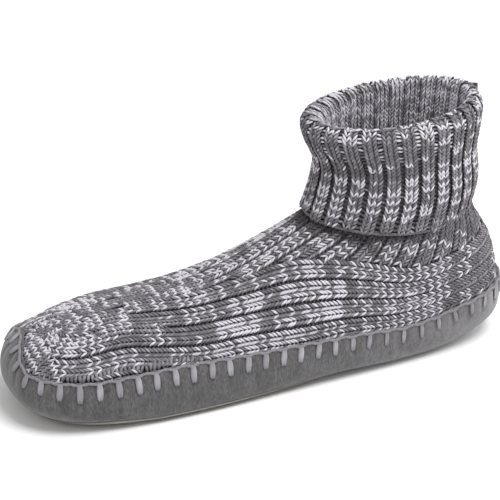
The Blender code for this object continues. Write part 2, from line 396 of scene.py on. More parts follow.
class Knitting(NamedTuple):
    """Yarn of a piece of knitting: its V legs, the purl bars and the loops that lie under the ribs."""

    legs: Yarn
    bars: Yarn
    cores: Yarn
    key: int = 0

    def next_piece(self, key: int) -> "Knitting":
        """Fresh legs with the same bars and loops, and a number for the next piece's draws."""
        return self._replace(legs=Yarn(), key=key)


@dataclass(frozen=True)
class YarnShape:
    """Size and form of one short length of yarn, in millimetres."""

    length: float
    width: float
    height: float
    bend: float
    taper_back: float
    taper_front: float
    rings: int
    sides: int
    round_ends: float = 0.0


@dataclass
class YarnLayer:
    """Geometry Nodes tree that lays a tapered, bent length of yarn on every point."""

    last: Last
    dome_power: float = 4.0
    dome_least: float = 0.02
    sockets: dict = field(default_factory=dict)

    def __post_init__(self) -> None:
        """Build the tree with its named inputs."""
        self.tree = bpy.data.node_groups.new("lay_yarn", "GeometryNodeTree")
        face = self.tree.interface
        face.new_socket("Geometry", in_out="INPUT", socket_type="NodeSocketGeometry")
        kinds = {part.name: "NodeSocketFloat" for part in fields(YarnShape)}
        kinds.update(rings="NodeSocketInt", sides="NodeSocketInt", material="NodeSocketMaterial")
        for name, kind in kinds.items():
            title = name.replace("_", " ").capitalize()
            self.sockets[name] = face.new_socket(title, in_out="INPUT", socket_type=kind)
        face.new_socket("Geometry", in_out="OUTPUT", socket_type="NodeSocketGeometry")
        self._wire()

    def _node(self, kind: str, inputs: dict, **settings: object) -> NodeSocket:
        """First output of a new node of this tree."""
        return add_node(self.tree, kind, inputs, **settings).outputs[0]

    def _math(self, operation: str, first: object, second: object) -> NodeSocket:
        """Output of a math node of this tree."""
        return math_node(self.tree, operation, first, second)

    def _attribute(self, name: str) -> NodeSocket:
        """A named vector that the points carry."""
        return self._node("GeometryNodeInputNamedAttribute", {"Name": name}, data_type="FLOAT_VECTOR")

    def _wire(self) -> None:
        """Link the nodes: one length of yarn, laid on the points and made real."""
        given = self.tree.nodes.new("NodeGroupInput").outputs
        ends = {"Start": (0.0, -0.5, 0.0), "End": (0.0, 0.5, 0.0)}
        line = self._node("GeometryNodeCurvePrimitiveLine", ends)
        line = self._node("GeometryNodeResampleCurve", {"Curve": line, "Count": given["Rings"]})
        factor = self._node("GeometryNodeSplineParameter", {})
        signed = self._math("SUBTRACT", self._math("MULTIPLY", factor, 2.0), 1.0)
        squared = self._math("MULTIPLY", signed, signed)
        drop = self._math("MULTIPLY", self._math("MULTIPLY", squared, given["Bend"]), -1.0)
        drop = self._node("ShaderNodeCombineXYZ", {"Z": drop})
        line = self._node("GeometryNodeSetPosition", {"Geometry": line, "Offset": drop})
        radius = self._radius(signed, squared, given)
        line = self._node("GeometryNodeSetCurveRadius", {"Curve": line, "Radius": radius})
        circle = {"Radius": 0.5, "Resolution": given["Sides"]}
        circle = self._node("GeometryNodeCurvePrimitiveCircle", circle)
        tube = {"Curve": line, "Profile Curve": circle, "Scale": radius, "Fill Caps": True}
        tube = self._node("GeometryNodeCurveToMesh", tube)
        known = {"Geometry": tube, "Name": "coil", "Value": self._node("GeometryNodeInputPosition", {})}
        known = self._node("GeometryNodeStoreNamedAttribute", known, data_type="FLOAT_VECTOR")
        scale = {"X": given["Width"], "Y": given["Length"], "Z": given["Height"]}
        scale = self._node("ShaderNodeCombineXYZ", scale)
        sized = self._node("GeometryNodeTransform", {"Geometry": known, "Scale": scale})
        axes = {"Primary Axis": self._attribute("outward"), "Secondary Axis": self._attribute("forward")}
        turn = self._node("FunctionNodeAxesToRotation", axes, primary_axis="Z", secondary_axis="Y")
        laid = {"Points": given["Geometry"], "Instance": sized, "Rotation": turn}
        laid["Scale"] = self._attribute("size")
        laid = self._node("GeometryNodeInstanceOnPoints", laid)
        real = self._node("GeometryNodeRealizeInstances", {"Geometry": laid})
        real = self._node("GeometryNodeSetShadeSmooth", {"Geometry": real})
        dressed = {"Geometry": real, "Material": given["Material"]}
        dressed = self._node("GeometryNodeSetMaterial", dressed)
        add_node(self.tree, "NodeGroupOutput", {0: dressed})

    def _radius(self, signed: NodeSocket, squared: NodeSocket, given: object) -> NodeSocket:
        """Radius along the yarn, tapered to both ends and rounded where the shape asks for it.

        Args:
            signed: place along the yarn, from -1 to 1.
            squared: its square.
            given: the tree's inputs.

        Returns:
            The radius as a share of the full one.
        """
        ahead = self._math("MAXIMUM", signed, 0.0)
        behind = self._math("MAXIMUM", self._math("MULTIPLY", signed, -1.0), 0.0)
        front = self._math("MULTIPLY", self._math("MULTIPLY", ahead, ahead), given["Taper front"])
        back = self._math("MULTIPLY", self._math("MULTIPLY", behind, behind), given["Taper back"])
        cone = self._math("SUBTRACT", self._math("SUBTRACT", 1.0, front), back)
        steep = self._math("MULTIPLY", self._math("POWER", squared, self.dome_power), given["Round ends"])
        dome = self._math("MAXIMUM", self._math("SUBTRACT", 1.0, steep), self.dome_least)
        return self._math("MULTIPLY", cone, self._math("SQRT", dome, 0.0))

    def lay(self, name: str, yarn: Yarn, shape: YarnShape, finish: Material) -> None:
        """Lay yarn and install it as a plain mesh at the origin.

        Args:
            name: name of the piece.
            yarn: where each length lies.
            shape: the form that all lengths share.
            finish: material of the yarn.
        """
        values = yarn.stacked()
        place = self.last.swayed(values["place"])
        values["forward"] = unit(self.last.swayed(values["place"] + values["forward"]) - place)
        points = bpy.data.meshes.new(name)
        points.from_pydata((place * MM).tolist(), [], [])
        for key in ("forward", "outward", "size"):
            layer = points.attributes.new(key, "FLOAT_VECTOR", "POINT")
            layer.data.foreach_set("vector", values[key].astype(np.float32).ravel())
        shade = points.attributes.new("shade", "FLOAT", "POINT")
        shade.data.foreach_set("value", values["shade"].astype(np.float32))
        made = bpy.data.objects.new(name, points)
        bpy.context.scene.collection.objects.link(made)
        layer = made.modifiers.new("yarn", "NODES")
        layer.node_group = self.tree
        metres = replace(
            shape, length=shape.length * MM, width=shape.width * MM, height=shape.height * MM
        )
        for key, value in {**asdict(metres), "material": finish}.items():
            layer[self.sockets[key].identifier] = value
        graph = bpy.context.evaluated_depsgraph_get()
        mesh = bpy.data.meshes.new_from_object(made.evaluated_get(graph))
        made.modifiers.remove(layer)
        made.data = mesh
        mesh.name = name
        for key in ("forward", "outward", "size"):
            if key in mesh.attributes:
                mesh.attributes.remove(mesh.attributes[key])
        bpy.data.meshes.remove(points)
        install(made, Slot.KNIT)


@dataclass(frozen=True)
class Finish:
    """A procedural material and the small tools that its nodes are made with."""

    name: str
    roughness: float = 0.95
    specular: float = 0.5
    sheen: float = 0.0
    sheen_roughness: float = 0.5
    bump_strength: float = 0.6
    bump_mm: float = 0.4

    def start(self) -> tuple[Material, NodeTree]:
        """A new material with its tree."""
        made = bpy.data.materials.new(self.name)
        made.use_nodes = True
        inputs = made.node_tree.nodes["Principled BSDF"].inputs
        inputs["Roughness"].default_value = self.roughness
        inputs["Specular IOR Level"].default_value = self.specular
        inputs["Sheen Weight"].default_value = self.sheen
        inputs["Sheen Roughness"].default_value = self.sheen_roughness
        return made, made.node_tree

    def close(self, tree: NodeTree, colour: NodeSocket, height: NodeSocket) -> None:
        """Give the main shader its colour and roughen its normal by a height.

        Args:
            tree: the material's tree.
            colour: its colour.
            height: height of the relief, where 1 is the full depth.
        """
        shader = tree.nodes["Principled BSDF"]
        relief = {"Strength": self.bump_strength, "Distance": self.bump_mm * MM, "Height": height}
        bump = add_node(tree, "ShaderNodeBump", relief)
        tree.links.new(bump.outputs["Normal"], shader.inputs["Normal"])
        tree.links.new(colour, shader.inputs["Base Color"])

    @staticmethod
    def noise(
        tree: NodeTree, scale: float, detail: float, stretch: Triple = (1.0, 1.0, 1.0)
    ) -> NodeSocket:
        """Noise on the piece's own coordinates.

        Args:
            tree: the material's tree.
            scale: cells to a metre.
            detail: octaves.
            stretch: scale along each axis.

        Returns:
            The noise's value.
        """
        where = tree.nodes.new("ShaderNodeTexCoord").outputs["Object"]
        where = add_node(tree, "ShaderNodeMapping", {"Vector": where, "Scale": stretch}).outputs["Vector"]
        cells = {"Vector": where, "Scale": scale, "Detail": detail}
        return add_node(tree, "ShaderNodeTexNoise", cells).outputs["Fac"]

    @staticmethod
    def along_axis(tree: NodeTree, axis: str, low: float, high: float, gain: float) -> NodeSocket:
        """A value that rises along one of the piece's own axes.

        Args:
            tree: the material's tree.
            axis: X, Y or Z.
            low: coordinate in metres up to which it is nought.
            high: coordinate in metres from which it is full.
            gain: the full value.

        Returns:
            The value.
        """
        where = tree.nodes.new("ShaderNodeTexCoord").outputs["Object"]
        place = add_node(tree, "ShaderNodeSeparateXYZ", {"Vector": where}).outputs[axis]
        rise = {"Value": place, "From Min": low, "From Max": high, "To Max": gain}
        return add_node(tree, "ShaderNodeMapRange", rise).outputs["Result"]

    @staticmethod
    def ramp(tree: NodeTree, value: NodeSocket, stops: Stops) -> NodeSocket:
        """A colour ramp.

        Args:
            tree: the material's tree.
            value: the socket that it reads.
            stops: position and colour of each stop.

        Returns:
            The colour.
        """
        node = add_node(tree, "ShaderNodeValToRGB", {"Fac": value})
        marks = node.color_ramp.elements
        while len(marks) < len(stops):
            marks.new(0.5)
        for mark, (position, colour) in zip(marks, stops):
            mark.position = position
            mark.color = (*colour, 1.0)
        return node.outputs["Color"]

    @staticmethod
    def tinted(greys: Table, tint: Triple) -> tuple:
        """Stops of a ramp from greys, all with one tint."""
        return tuple((place, tuple(grey * part for part in tint)) for place, grey in greys)


@dataclass(frozen=True)
class MarledWool(Finish):
    """Wool yarn of two twisted plies, grey and white, shaded by each stitch's own value."""

    roughness: float = 0.92
    specular: float = 0.2
    sheen: float = 0.12
    bump_mm: float = 0.25
    mottle: float = 0.22
    ply_contrast: float = 1.3
    ply_level: float = 0.8
    ply_height: float = 2.0
    twists: float = 0.55
    tint: Triple = (1.0, 0.955, 1.045)
    greys: Table = ((0.0, 0.045), (0.3, 0.145), (0.55, 0.26), (0.95, 0.62))
    cloud_scale: float = 620.0
    fibre_scale: float = 2600.0

    def plies(self, tree: NodeTree) -> NodeSocket:
        """Which ply of the yarn shows, from -0.5 to 0.5: the pale one lies outward at mid-length."""
        coil = add_node(tree, "ShaderNodeAttribute", {}, attribute_name="coil").outputs["Vector"]
        coil = add_node(tree, "ShaderNodeSeparateXYZ", {"Vector": coil}).outputs
        phase = math_node(tree, "MULTIPLY", coil["Y"], 2.0 * math.pi * self.twists)
        first = math_node(tree, "MULTIPLY", coil["Z"], math_node(tree, "COSINE", phase, 0.0))
        second = math_node(tree, "MULTIPLY", coil["X"], math_node(tree, "SINE", phase, 0.0))
        return math_node(tree, "ADD", first, second)

    def material(self) -> Material:
        """Build the material."""
        made, tree = self.start()
        shade = add_node(tree, "ShaderNodeAttribute", {}, attribute_name="shade")
        ply = self.plies(tree)
        clouds = math_node(tree, "SUBTRACT", self.noise(tree, self.cloud_scale, 2.0), 0.5)
        mottle = math_node(tree, "MULTIPLY", clouds, self.mottle)
        stripe = math_node(tree, "MULTIPLY", ply, self.ply_contrast)
        stripe = math_node(tree, "ADD", stripe, self.ply_level)
        plied = math_node(tree, "MULTIPLY", shade.outputs["Fac"], stripe)
        value = math_node(tree, "ADD", plied, mottle)
        colour = self.ramp(tree, value, self.tinted(self.greys, self.tint))
        fibres = self.noise(tree, self.fibre_scale, 3.0)
        strands = math_node(tree, "MULTIPLY", math_node(tree, "MULTIPLY", ply, ply), self.ply_height)
        self.close(tree, colour, math_node(tree, "ADD", fibres, strands))
        return made


@dataclass(frozen=True)
class PaintedShadeBackKnit(Finish):
    """The fabric that shows between the stitches, coloured dark as painted shade."""

    specular: float = 0.15
    bump_strength: float = 0.8
    bump_mm: float = 0.8
    ply_scale: float = 420.0
    loop_scale: float = 700.0
    # dark greys: painted shade where the fabric shows between the stitches
    stops: Stops = (
        (0.3, (0.02, 0.02, 0.022)),
        (0.55, (0.05, 0.049, 0.053)),
        (0.75, (0.11, 0.107, 0.114)),
    )

    def material(self) -> Material:
        """Build the material."""
        made, tree = self.start()
        colour = self.ramp(tree, self.noise(tree, self.ply_scale, 4.0), self.stops)
        self.close(tree, colour, self.noise(tree, self.loop_scale, 3.0))
        return made


@dataclass(frozen=True)
class Suede(Finish):
    """Grey suede: a short nap brushed up and down, cloudy, with painted light that makes it paler round
    the heel.
    """

    specular: float = 0.15
    sheen: float = 0.3
    sheen_roughness: float = 0.6
    bump_strength: float = 0.5
    bump_mm: float = 0.35
    nap_scale: float = 1500.0
    nap_share: float = 0.45
    nap_stretch: float = 0.3
    relief_stretch: float = 0.4
    streak_scale: float = 420.0
    streak_share: float = 0.3
    streak_stretch: float = 0.16
    cloud_scale: float = 55.0
    cloud_share: float = 0.25
    heel_from: float = 0.02
    heel_to: float = 0.12
    heel_painted_light: float = 0.21
    tint: Triple = (1.0, 0.96, 1.0)
    greys: Table = ((0.36, 0.034), (0.5, 0.073), (0.74, 0.168))

    def material(self) -> Material:
        """Build the material."""
        made, tree = self.start()
        nap = self.noise(tree, self.nap_scale, 4.0, (1.0, 1.0, self.nap_stretch))
        streaks = self.noise(tree, self.streak_scale, 3.0, (1.0, 1.0, self.streak_stretch))
        clouds = self.noise(tree, self.cloud_scale, 3.0)
        value = math_node(tree, "MULTIPLY", nap, self.nap_share)
        value = math_node(tree, "ADD", value, math_node(tree, "MULTIPLY", streaks, self.streak_share))
        value = math_node(tree, "ADD", value, math_node(tree, "MULTIPLY", clouds, self.cloud_share))
        # painted light: the suede is made paler toward the heel
        heel = self.along_axis(tree, "X", self.heel_from, self.heel_to, self.heel_painted_light)
        value = math_node(tree, "ADD", value, heel)
        colour = self.ramp(tree, value, self.tinted(self.greys, self.tint))
        relief = self.noise(tree, self.nap_scale, 4.0, (1.0, 1.0, self.relief_stretch))
        self.close(tree, colour, relief)
        return made


@dataclass(frozen=True)
class RawEdge(Finish):
    """Cut edge of the tread: a beige line over a dark, speckled fringe."""

    bump_strength: float = 0.8
    speck_scale: float = 1100.0
    fringe: Stops = ((0.35, (0.05, 0.046, 0.042)), (0.65, (0.15, 0.139, 0.127)))
    line: Stops = ((0.3, (0.2, 0.187, 0.169)), (0.7, (0.36, 0.337, 0.304)))
    line_from: float = 0.0018
    line_to: float = 0.0024

    def material(self) -> Material:
        """Build the material."""
        made, tree = self.start()
        specks = self.noise(tree, self.speck_scale, 3.0)
        height = self.along_axis(tree, "Z", self.line_from, self.line_to, 1.0)
        fringe = self.ramp(tree, specks, self.fringe)
        line = self.ramp(tree, specks, self.line)
        mixed = add_node(tree, "ShaderNodeMixRGB", {"Fac": height, "Color1": fringe, "Color2": line})
        self.close(tree, mixed.outputs["Color"], specks)
        return made


@dataclass(frozen=True)
class Felt(Finish):
    """Short grey felt of the insole."""

    roughness: float = 0.97
    sheen: float = 0.3
    fluff_scale: float = 500.0
    hair_scale: float = 1800.0
    stops: Stops = ((0.3, (0.06, 0.059, 0.062)), (0.7, (0.18, 0.177, 0.183)))

    def material(self) -> Material:
        """Build the material."""
        made, tree = self.start()
        colour = self.ramp(tree, self.noise(tree, self.fluff_scale, 5.0), self.stops)
        self.close(tree, colour, self.noise(tree, self.hair_scale, 3.0))
        return made


@dataclass(frozen=True)
class Ribbon(Finish):
    """Plain grey ribbon with fine cross ribs."""

    roughness: float = 0.85
    bump_strength: float = 0.5
    bump_mm: float = 0.3
    ribs_per_metre: float = 1300.0
    waver: float = 0.6
    stops: Stops = ((0.2, (0.05, 0.049, 0.052)), (0.8, (0.13, 0.126, 0.133)))

    def material(self) -> Material:
        """Build the material, with a wave scale that is one band to a rib."""
        made, tree = self.start()
        where = tree.nodes.new("ShaderNodeTexCoord").outputs["Object"]
        ribs = {"Vector": where, "Scale": self.ribs_per_metre * math.pi / 10.0, "Distortion": self.waver}
        wave = add_node(tree, "ShaderNodeTexWave", ribs, bands_direction="Z").outputs["Fac"]
        self.close(tree, self.ramp(tree, wave, self.stops), wave)
        return made


@dataclass(frozen=True)
class PaleFloor(Finish):
    """Plain pale studio floor."""

    roughness: float = 0.8
    specular: float = 0.1
    grey: float = 0.9

    def material(self) -> Material:
        """Build the material."""
        made, tree = self.start()
        colour = (self.grey, self.grey, self.grey, 1.0)
        tree.nodes["Principled BSDF"].inputs["Base Color"].default_value = colour
        return made


def mesh_piece(name: str, points: Array, faces: list, finish: Material, closed: bool = True) -> Object:
    """A smooth mesh object at the origin.

    Args:
        name: name of the piece.
        points: vertices in millimetres.
        faces: vertex numbers of each face.
        finish: its material.
        closed: whether it is a closed form, with coincident points joined and its faces outward.

    Returns:
        The object.
    """
    mesh = bpy.data.meshes.new(name)
    mesh.from_pydata((points * MM).tolist(), [], faces)
    mesh.polygons.foreach_set("use_smooth", [True] * len(mesh.polygons))
    mesh.materials.append(finish)
    if closed:
        bm = bmesh.new()
        bm.from_mesh(mesh)
        bmesh.ops.remove_doubles(bm, verts=bm.verts, dist=WELD)
        bmesh.ops.recalc_face_normals(bm, faces=bm.faces)
        bm.to_mesh(mesh)
        bm.free()
    made = bpy.data.objects.new(name, mesh)
    bpy.context.scene.collection.objects.link(made)
    return made


def ring_faces(rings: int, around: int) -> list:
    """Quads between rings of points that close on themselves."""
    faces = []
    for low in range(0, (rings - 1) * around, around):
        high = low + around
        for j in range(around):
            after = (j + 1) % around
            faces.append((low + j, low + after, high + after, high + j))
    return faces


def install(piece: Object, slot: Slot, *nodes: str) -> None:
    """Ride on the body and stand for CAD nodes."""
    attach(piece, BODY)
    if nodes:
        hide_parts(*nodes)
    LOG.info("%s: %d faces", piece.name, len(piece.data.polygons))


@dataclass
class Around:
    """Level lines round the foot: a bent arc at the toe, two straight sides and an arc at the heel."""

    last: Last
    toe_centre: float = -86.0
    heel_centre: float = 94.0
    toe_steps: int = 90
    side_steps: int = 180
    heel_steps: int = 90
    aside: float = 0.003
    first_guess: float = 30.0
    guesses: int = 6

    @property
    def near(self) -> int:
        """Number of stations of the near side, from the toe to the heel."""
        return self.toe_steps + self.side_steps + self.heel_steps

    def stations(self) -> tuple[Array, Array]:
        """Centres and outward directions from the toe along the near side, round the heel and back."""
        toe = np.linspace(math.pi, 1.5 * math.pi, self.toe_steps, endpoint=False)
        side = np.linspace(self.toe_centre, self.heel_centre, self.side_steps, endpoint=False)
        heel = np.linspace(1.5 * math.pi, 2.0 * math.pi, self.heel_steps)
        angle = np.concatenate([toe, np.full(self.side_steps, 1.5 * math.pi), heel])
        x = np.concatenate(
            [np.full(self.toe_steps, self.toe_centre), side, np.full(self.heel_steps, self.heel_centre)]
        )
        centre = np.stack([x, np.zeros_like(x), np.zeros_like(x)], axis=1)
        out = np.stack([np.cos(angle), np.sin(angle), np.zeros_like(angle)], axis=1)
        return np.vstack([centre, centre[-2:0:-1]]), np.vstack([out, out[-2:0:-1] * FAR])

    def level(self, tree: BVHTree, height: Array) -> Array:
        """Where level rays from the centres, a hair aside of its own edges, meet a skin.

        Args:
            tree: the skin's search tree.
            height: height of the ray at each station.

        Returns:
            One point to a station.
        """
        centre, out = self.stations()
        hits = []
        for start, way, z in zip(centre, out, height):
            hit, _, _, _ = tree.ray_cast(Vector((start[0], start[1] + self.aside, z)), Vector(way))
            hits.append(hit if hit is not None else Vector((start[0], start[1], z)))
        return np.array(hits)

    def edge(self, tree: BVHTree) -> Array:
        """The suede's edge line on a skin."""
        centre, out = self.stations()
        guess = centre + out * self.first_guess
        for _ in range(self.guesses):
            guess = self.level(tree, self.last.edge_height(guess[:, 0], guess[:, 1]))
        return guess

    def climb(self, tree: BVHTree, start: Array, step: float, count: int) -> Array:
        """Lines that run straight up or down a skin from every station.

        Args:
            tree: the skin's search tree.
            start: first point of each line.
            step: length of a step, upward or, where negative, downward.
            count: number of steps.

        Returns:
            Points by station, for the first ones that are given, and step.
        """
        _, out = self.stations()
        columns = [start]
        for _ in range(count):
            moved = []
            for here, way in zip(columns[-1], out):
                _, normal, _, _ = tree.find_nearest(Vector(here))
                up = Vector((-way[1], way[0], 0.0)).cross(normal)
                up = up if up.z >= 0.0 else -up
                near, _, _, _ = tree.find_nearest(Vector(here) + up.normalized() * step)
                moved.append(near)
            columns.append(np.array(moved))
        return np.stack(columns, axis=1)


@dataclass(frozen=True)
class MarledYarn:
    """Where the space-dyed yarn comes up white, half white or grey along each course."""

    seed: int = 17
    run: float = 4.5
    pool_courses: int = 7
    pool_gain: float = 0.3
    white: float = 0.95
    half: float = 0.62
    half_share: float = 0.1
    grey: float = 0.34
    grey_spread: float = 0.22
    cell_spread: float = 0.1
    leg_spread: float = 0.1

    def shades(self, course: Array, column: Array, share: Array, pool: Array, key: int) -> Array:
        """Shades of the two legs of each stitch.

        Args:
            course: row of knitting that the stitch is in.
            column: its place along that row.
            share: share of the yarn that is white there.
            pool: share of the ribs that is white over several courses.
            key: number of the piece of knitting.

        Returns:
            Values from 0, dark, to 1, white, one column to a leg.
        """
        draw = np.random.default_rng(self.seed + key)
        course = course - course.min()
        rib = column // 3 - column.min() // 3
        column = column - column.min()
        cells = draw.random((int(course.max()) + 1, int(2.0 * column.max() / self.run) + 5))
        tones = draw.random(cells.shape)
        start = draw.random(cells.shape[0])[course]
        block = (course + draw.integers(0, self.pool_courses, rib.max() + 1)[rib]) // self.pool_courses
        pools = draw.random((block.max() + 1, rib.max() + 1))[block, rib]
        legs = []
        for leg in (0.0, 1.0):
            cell = np.floor((2.0 * column + leg) / self.run + start).astype(int)
            bright = cells[course, cell] + self.cell_spread * (draw.random(len(course)) - 0.5)
            bright = np.where(pools < pool, self.pool_gain * bright, bright)
            grey = self.grey + self.grey_spread * (tones[course, cell] - 0.5)
            shade = np.where(bright < share + self.half_share * share, self.half, grey)
            legs.append(np.where(bright < share, self.white, shade))
        return np.stack(legs, axis=1)


class StitchColumn(NamedTuple):
    """Stitches of one column of knitting, in the order in which they were knitted."""

    point: Array
    ahead: Array
    outward: Array
    across: float
    course: Array
    number: int
    scale: Array
    ribbed: Array
    sunk: Array
    # dim: how much the purl bars are darkened as painted shade in the gutter
    dim: float = 0.52
    broad: float = 1.0

    def kept(self, keep: Array) -> "StitchColumn":
        """Only the stitches that are picked."""
        arrays = {name: value for name, value in self._asdict().items() if isinstance(value, Array)}
        return self._replace(**{name: value[keep] for name, value in arrays.items()})

    def raised(self, height: Array) -> "StitchColumn":
        """The stitches moved outward, each by its own height."""
        return self._replace(point=self.point + self.outward * height[:, None])

    def flipped(self) -> "StitchColumn":
        """The same stitches on the far side of the foot."""
        return self._replace(point=self.point * FAR, ahead=self.ahead * FAR, outward=self.outward * FAR)


def joined(made: list) -> tuple[Array, Array]:
    """Course and column numbers of all the stitches of some columns."""
    course = np.concatenate([column.course for column in made])
    number = np.concatenate([np.full(len(column.course), column.number) for column in made])
    return course, number


@dataclass
class Stitcher:
    """Turns columns of stitches into legs of yarn, purl bars and the loops under the ribs."""

    yarn: MarledYarn = field(default_factory=MarledYarn)
    pitch: float = 9.1
    course: float = 2.05
    wale: float = 0.22
    leg: float = 0.11
    lean: float = 0.56
    crown_drop: float = 0.7
    crown_tilt: float = 1.9
    gutter_drop: float = 1.45
    core_drop: float = 1.4
    core_shade: float = 0.22
    core_spread: float = 0.08
    leg_height_spread: float = 0.22
    leg_step_spread: float = 0.3
    leg_lean_spread: float = 0.16
    leg_size_spread: float = 0.16
    bar_height_spread: float = 0.3
    bar_turn_spread: float = 0.7
    bar_size_spread: float = 0.2
    seed: int = 5

    def __post_init__(self) -> None:
        """Start the draws for small irregularities."""
        self.draw = np.random.default_rng(self.seed)

    def jitter(self, count: int, amount: float) -> Array:
        """Small even differences around nought."""
        return amount * (self.draw.random(count) - 0.5)

    def knit(self, legs: Yarn, column: StitchColumn, shade: Array) -> None:
        """Add a column of V stitches, each of two legs that meet ahead.

        Args:
            legs: where the legs are added.
            column: the stitches.
            shade: shades of each stitch's two legs.
        """
        side = unit(np.cross(column.ahead, column.outward))
        count = len(column.point)
        for number, hand in enumerate((-1.0, 1.0)):
            place = column.across + hand * self.leg
            low = column.ribbed * self.crown_drop * (place / (self.wale + self.leg)) ** 2
            shift = hand * self.leg * self.pitch * column.scale
            height = self.jitter(count, self.leg_height_spread) - low
            at = column.point + side * shift[:, None] + column.outward * height[:, None]
            at = at + column.ahead * self.jitter(count, self.leg_step_spread)[:, None]
            lean = self.lean + self.jitter(count, self.leg_lean_spread)
            way = column.ahead * np.cos(lean)[:, None] - side * (hand * np.sin(lean))[:, None]
            out = unit(column.outward + side * (place * self.crown_tilt * column.ribbed)[:, None])
            broad = np.sqrt(column.scale)
            size = np.stack([broad, np.ones(count), broad], axis=1)
            size = size * (1.0 + self.jitter(count, self.leg_size_spread))[:, None]
            legs.add(at, way, out, size, shade[:, number] + self.jitter(count, self.yarn.leg_spread))

    def core(self, cores: Yarn, column: StitchColumn) -> None:
        """Add the loops that lie under a rib, one for every second course."""
        column = column.kept(np.arange(0, len(column.point), 2))
        column = column.raised(np.full(len(column.point), -self.core_drop))
        count = len(column.point)
        size = np.stack([column.scale, np.ones(count), np.ones(count)], axis=1)
        # the loops are darker than the yarn: painted shade in the gaps between the legs
        shade = self.core_shade + self.jitter(count, self.core_spread)
        cores.add(column.point, column.ahead, column.outward, size, shade)

    def purl(self, bars: Yarn, column: StitchColumn, shade: Array) -> None:
        """Add a sunk column of purl bars across a gutter.

        Args:
            bars: where the bars are added.
            column: the stitches.
            shade: shade of each bar.
        """
        side = unit(np.cross(column.ahead, column.outward))
        count = len(column.point)
        height = -self.gutter_drop * column.sunk - self.jitter(count, self.bar_height_spread)
        column = column.raised(height)
        way = unit(side + column.ahead * self.jitter(count, self.bar_turn_spread)[:, None])
        size = np.stack([np.full(count, column.broad), column.scale, column.scale], axis=1)
        size = size * (1.0 + self.jitter(count, self.bar_size_spread))[:, None]
        bars.add(column.point, way, column.outward, size, shade + self.jitter(count, self.yarn.leg_spread))


LEG = YarnShape(3.0, 1.26, 1.2, 0.3, 0.4, 0.5, 5, 6)
INNER_LEG = replace(LEG, rings=4, sides=5)
BAR = YarnShape(3.1, 1.3, 1.0, 0.3, 0.35, 0.35, 4, 5)
CORE = YarnShape(4.5, 6.4, 0.8, 0.0, 0.05, 0.05, 3, 6)


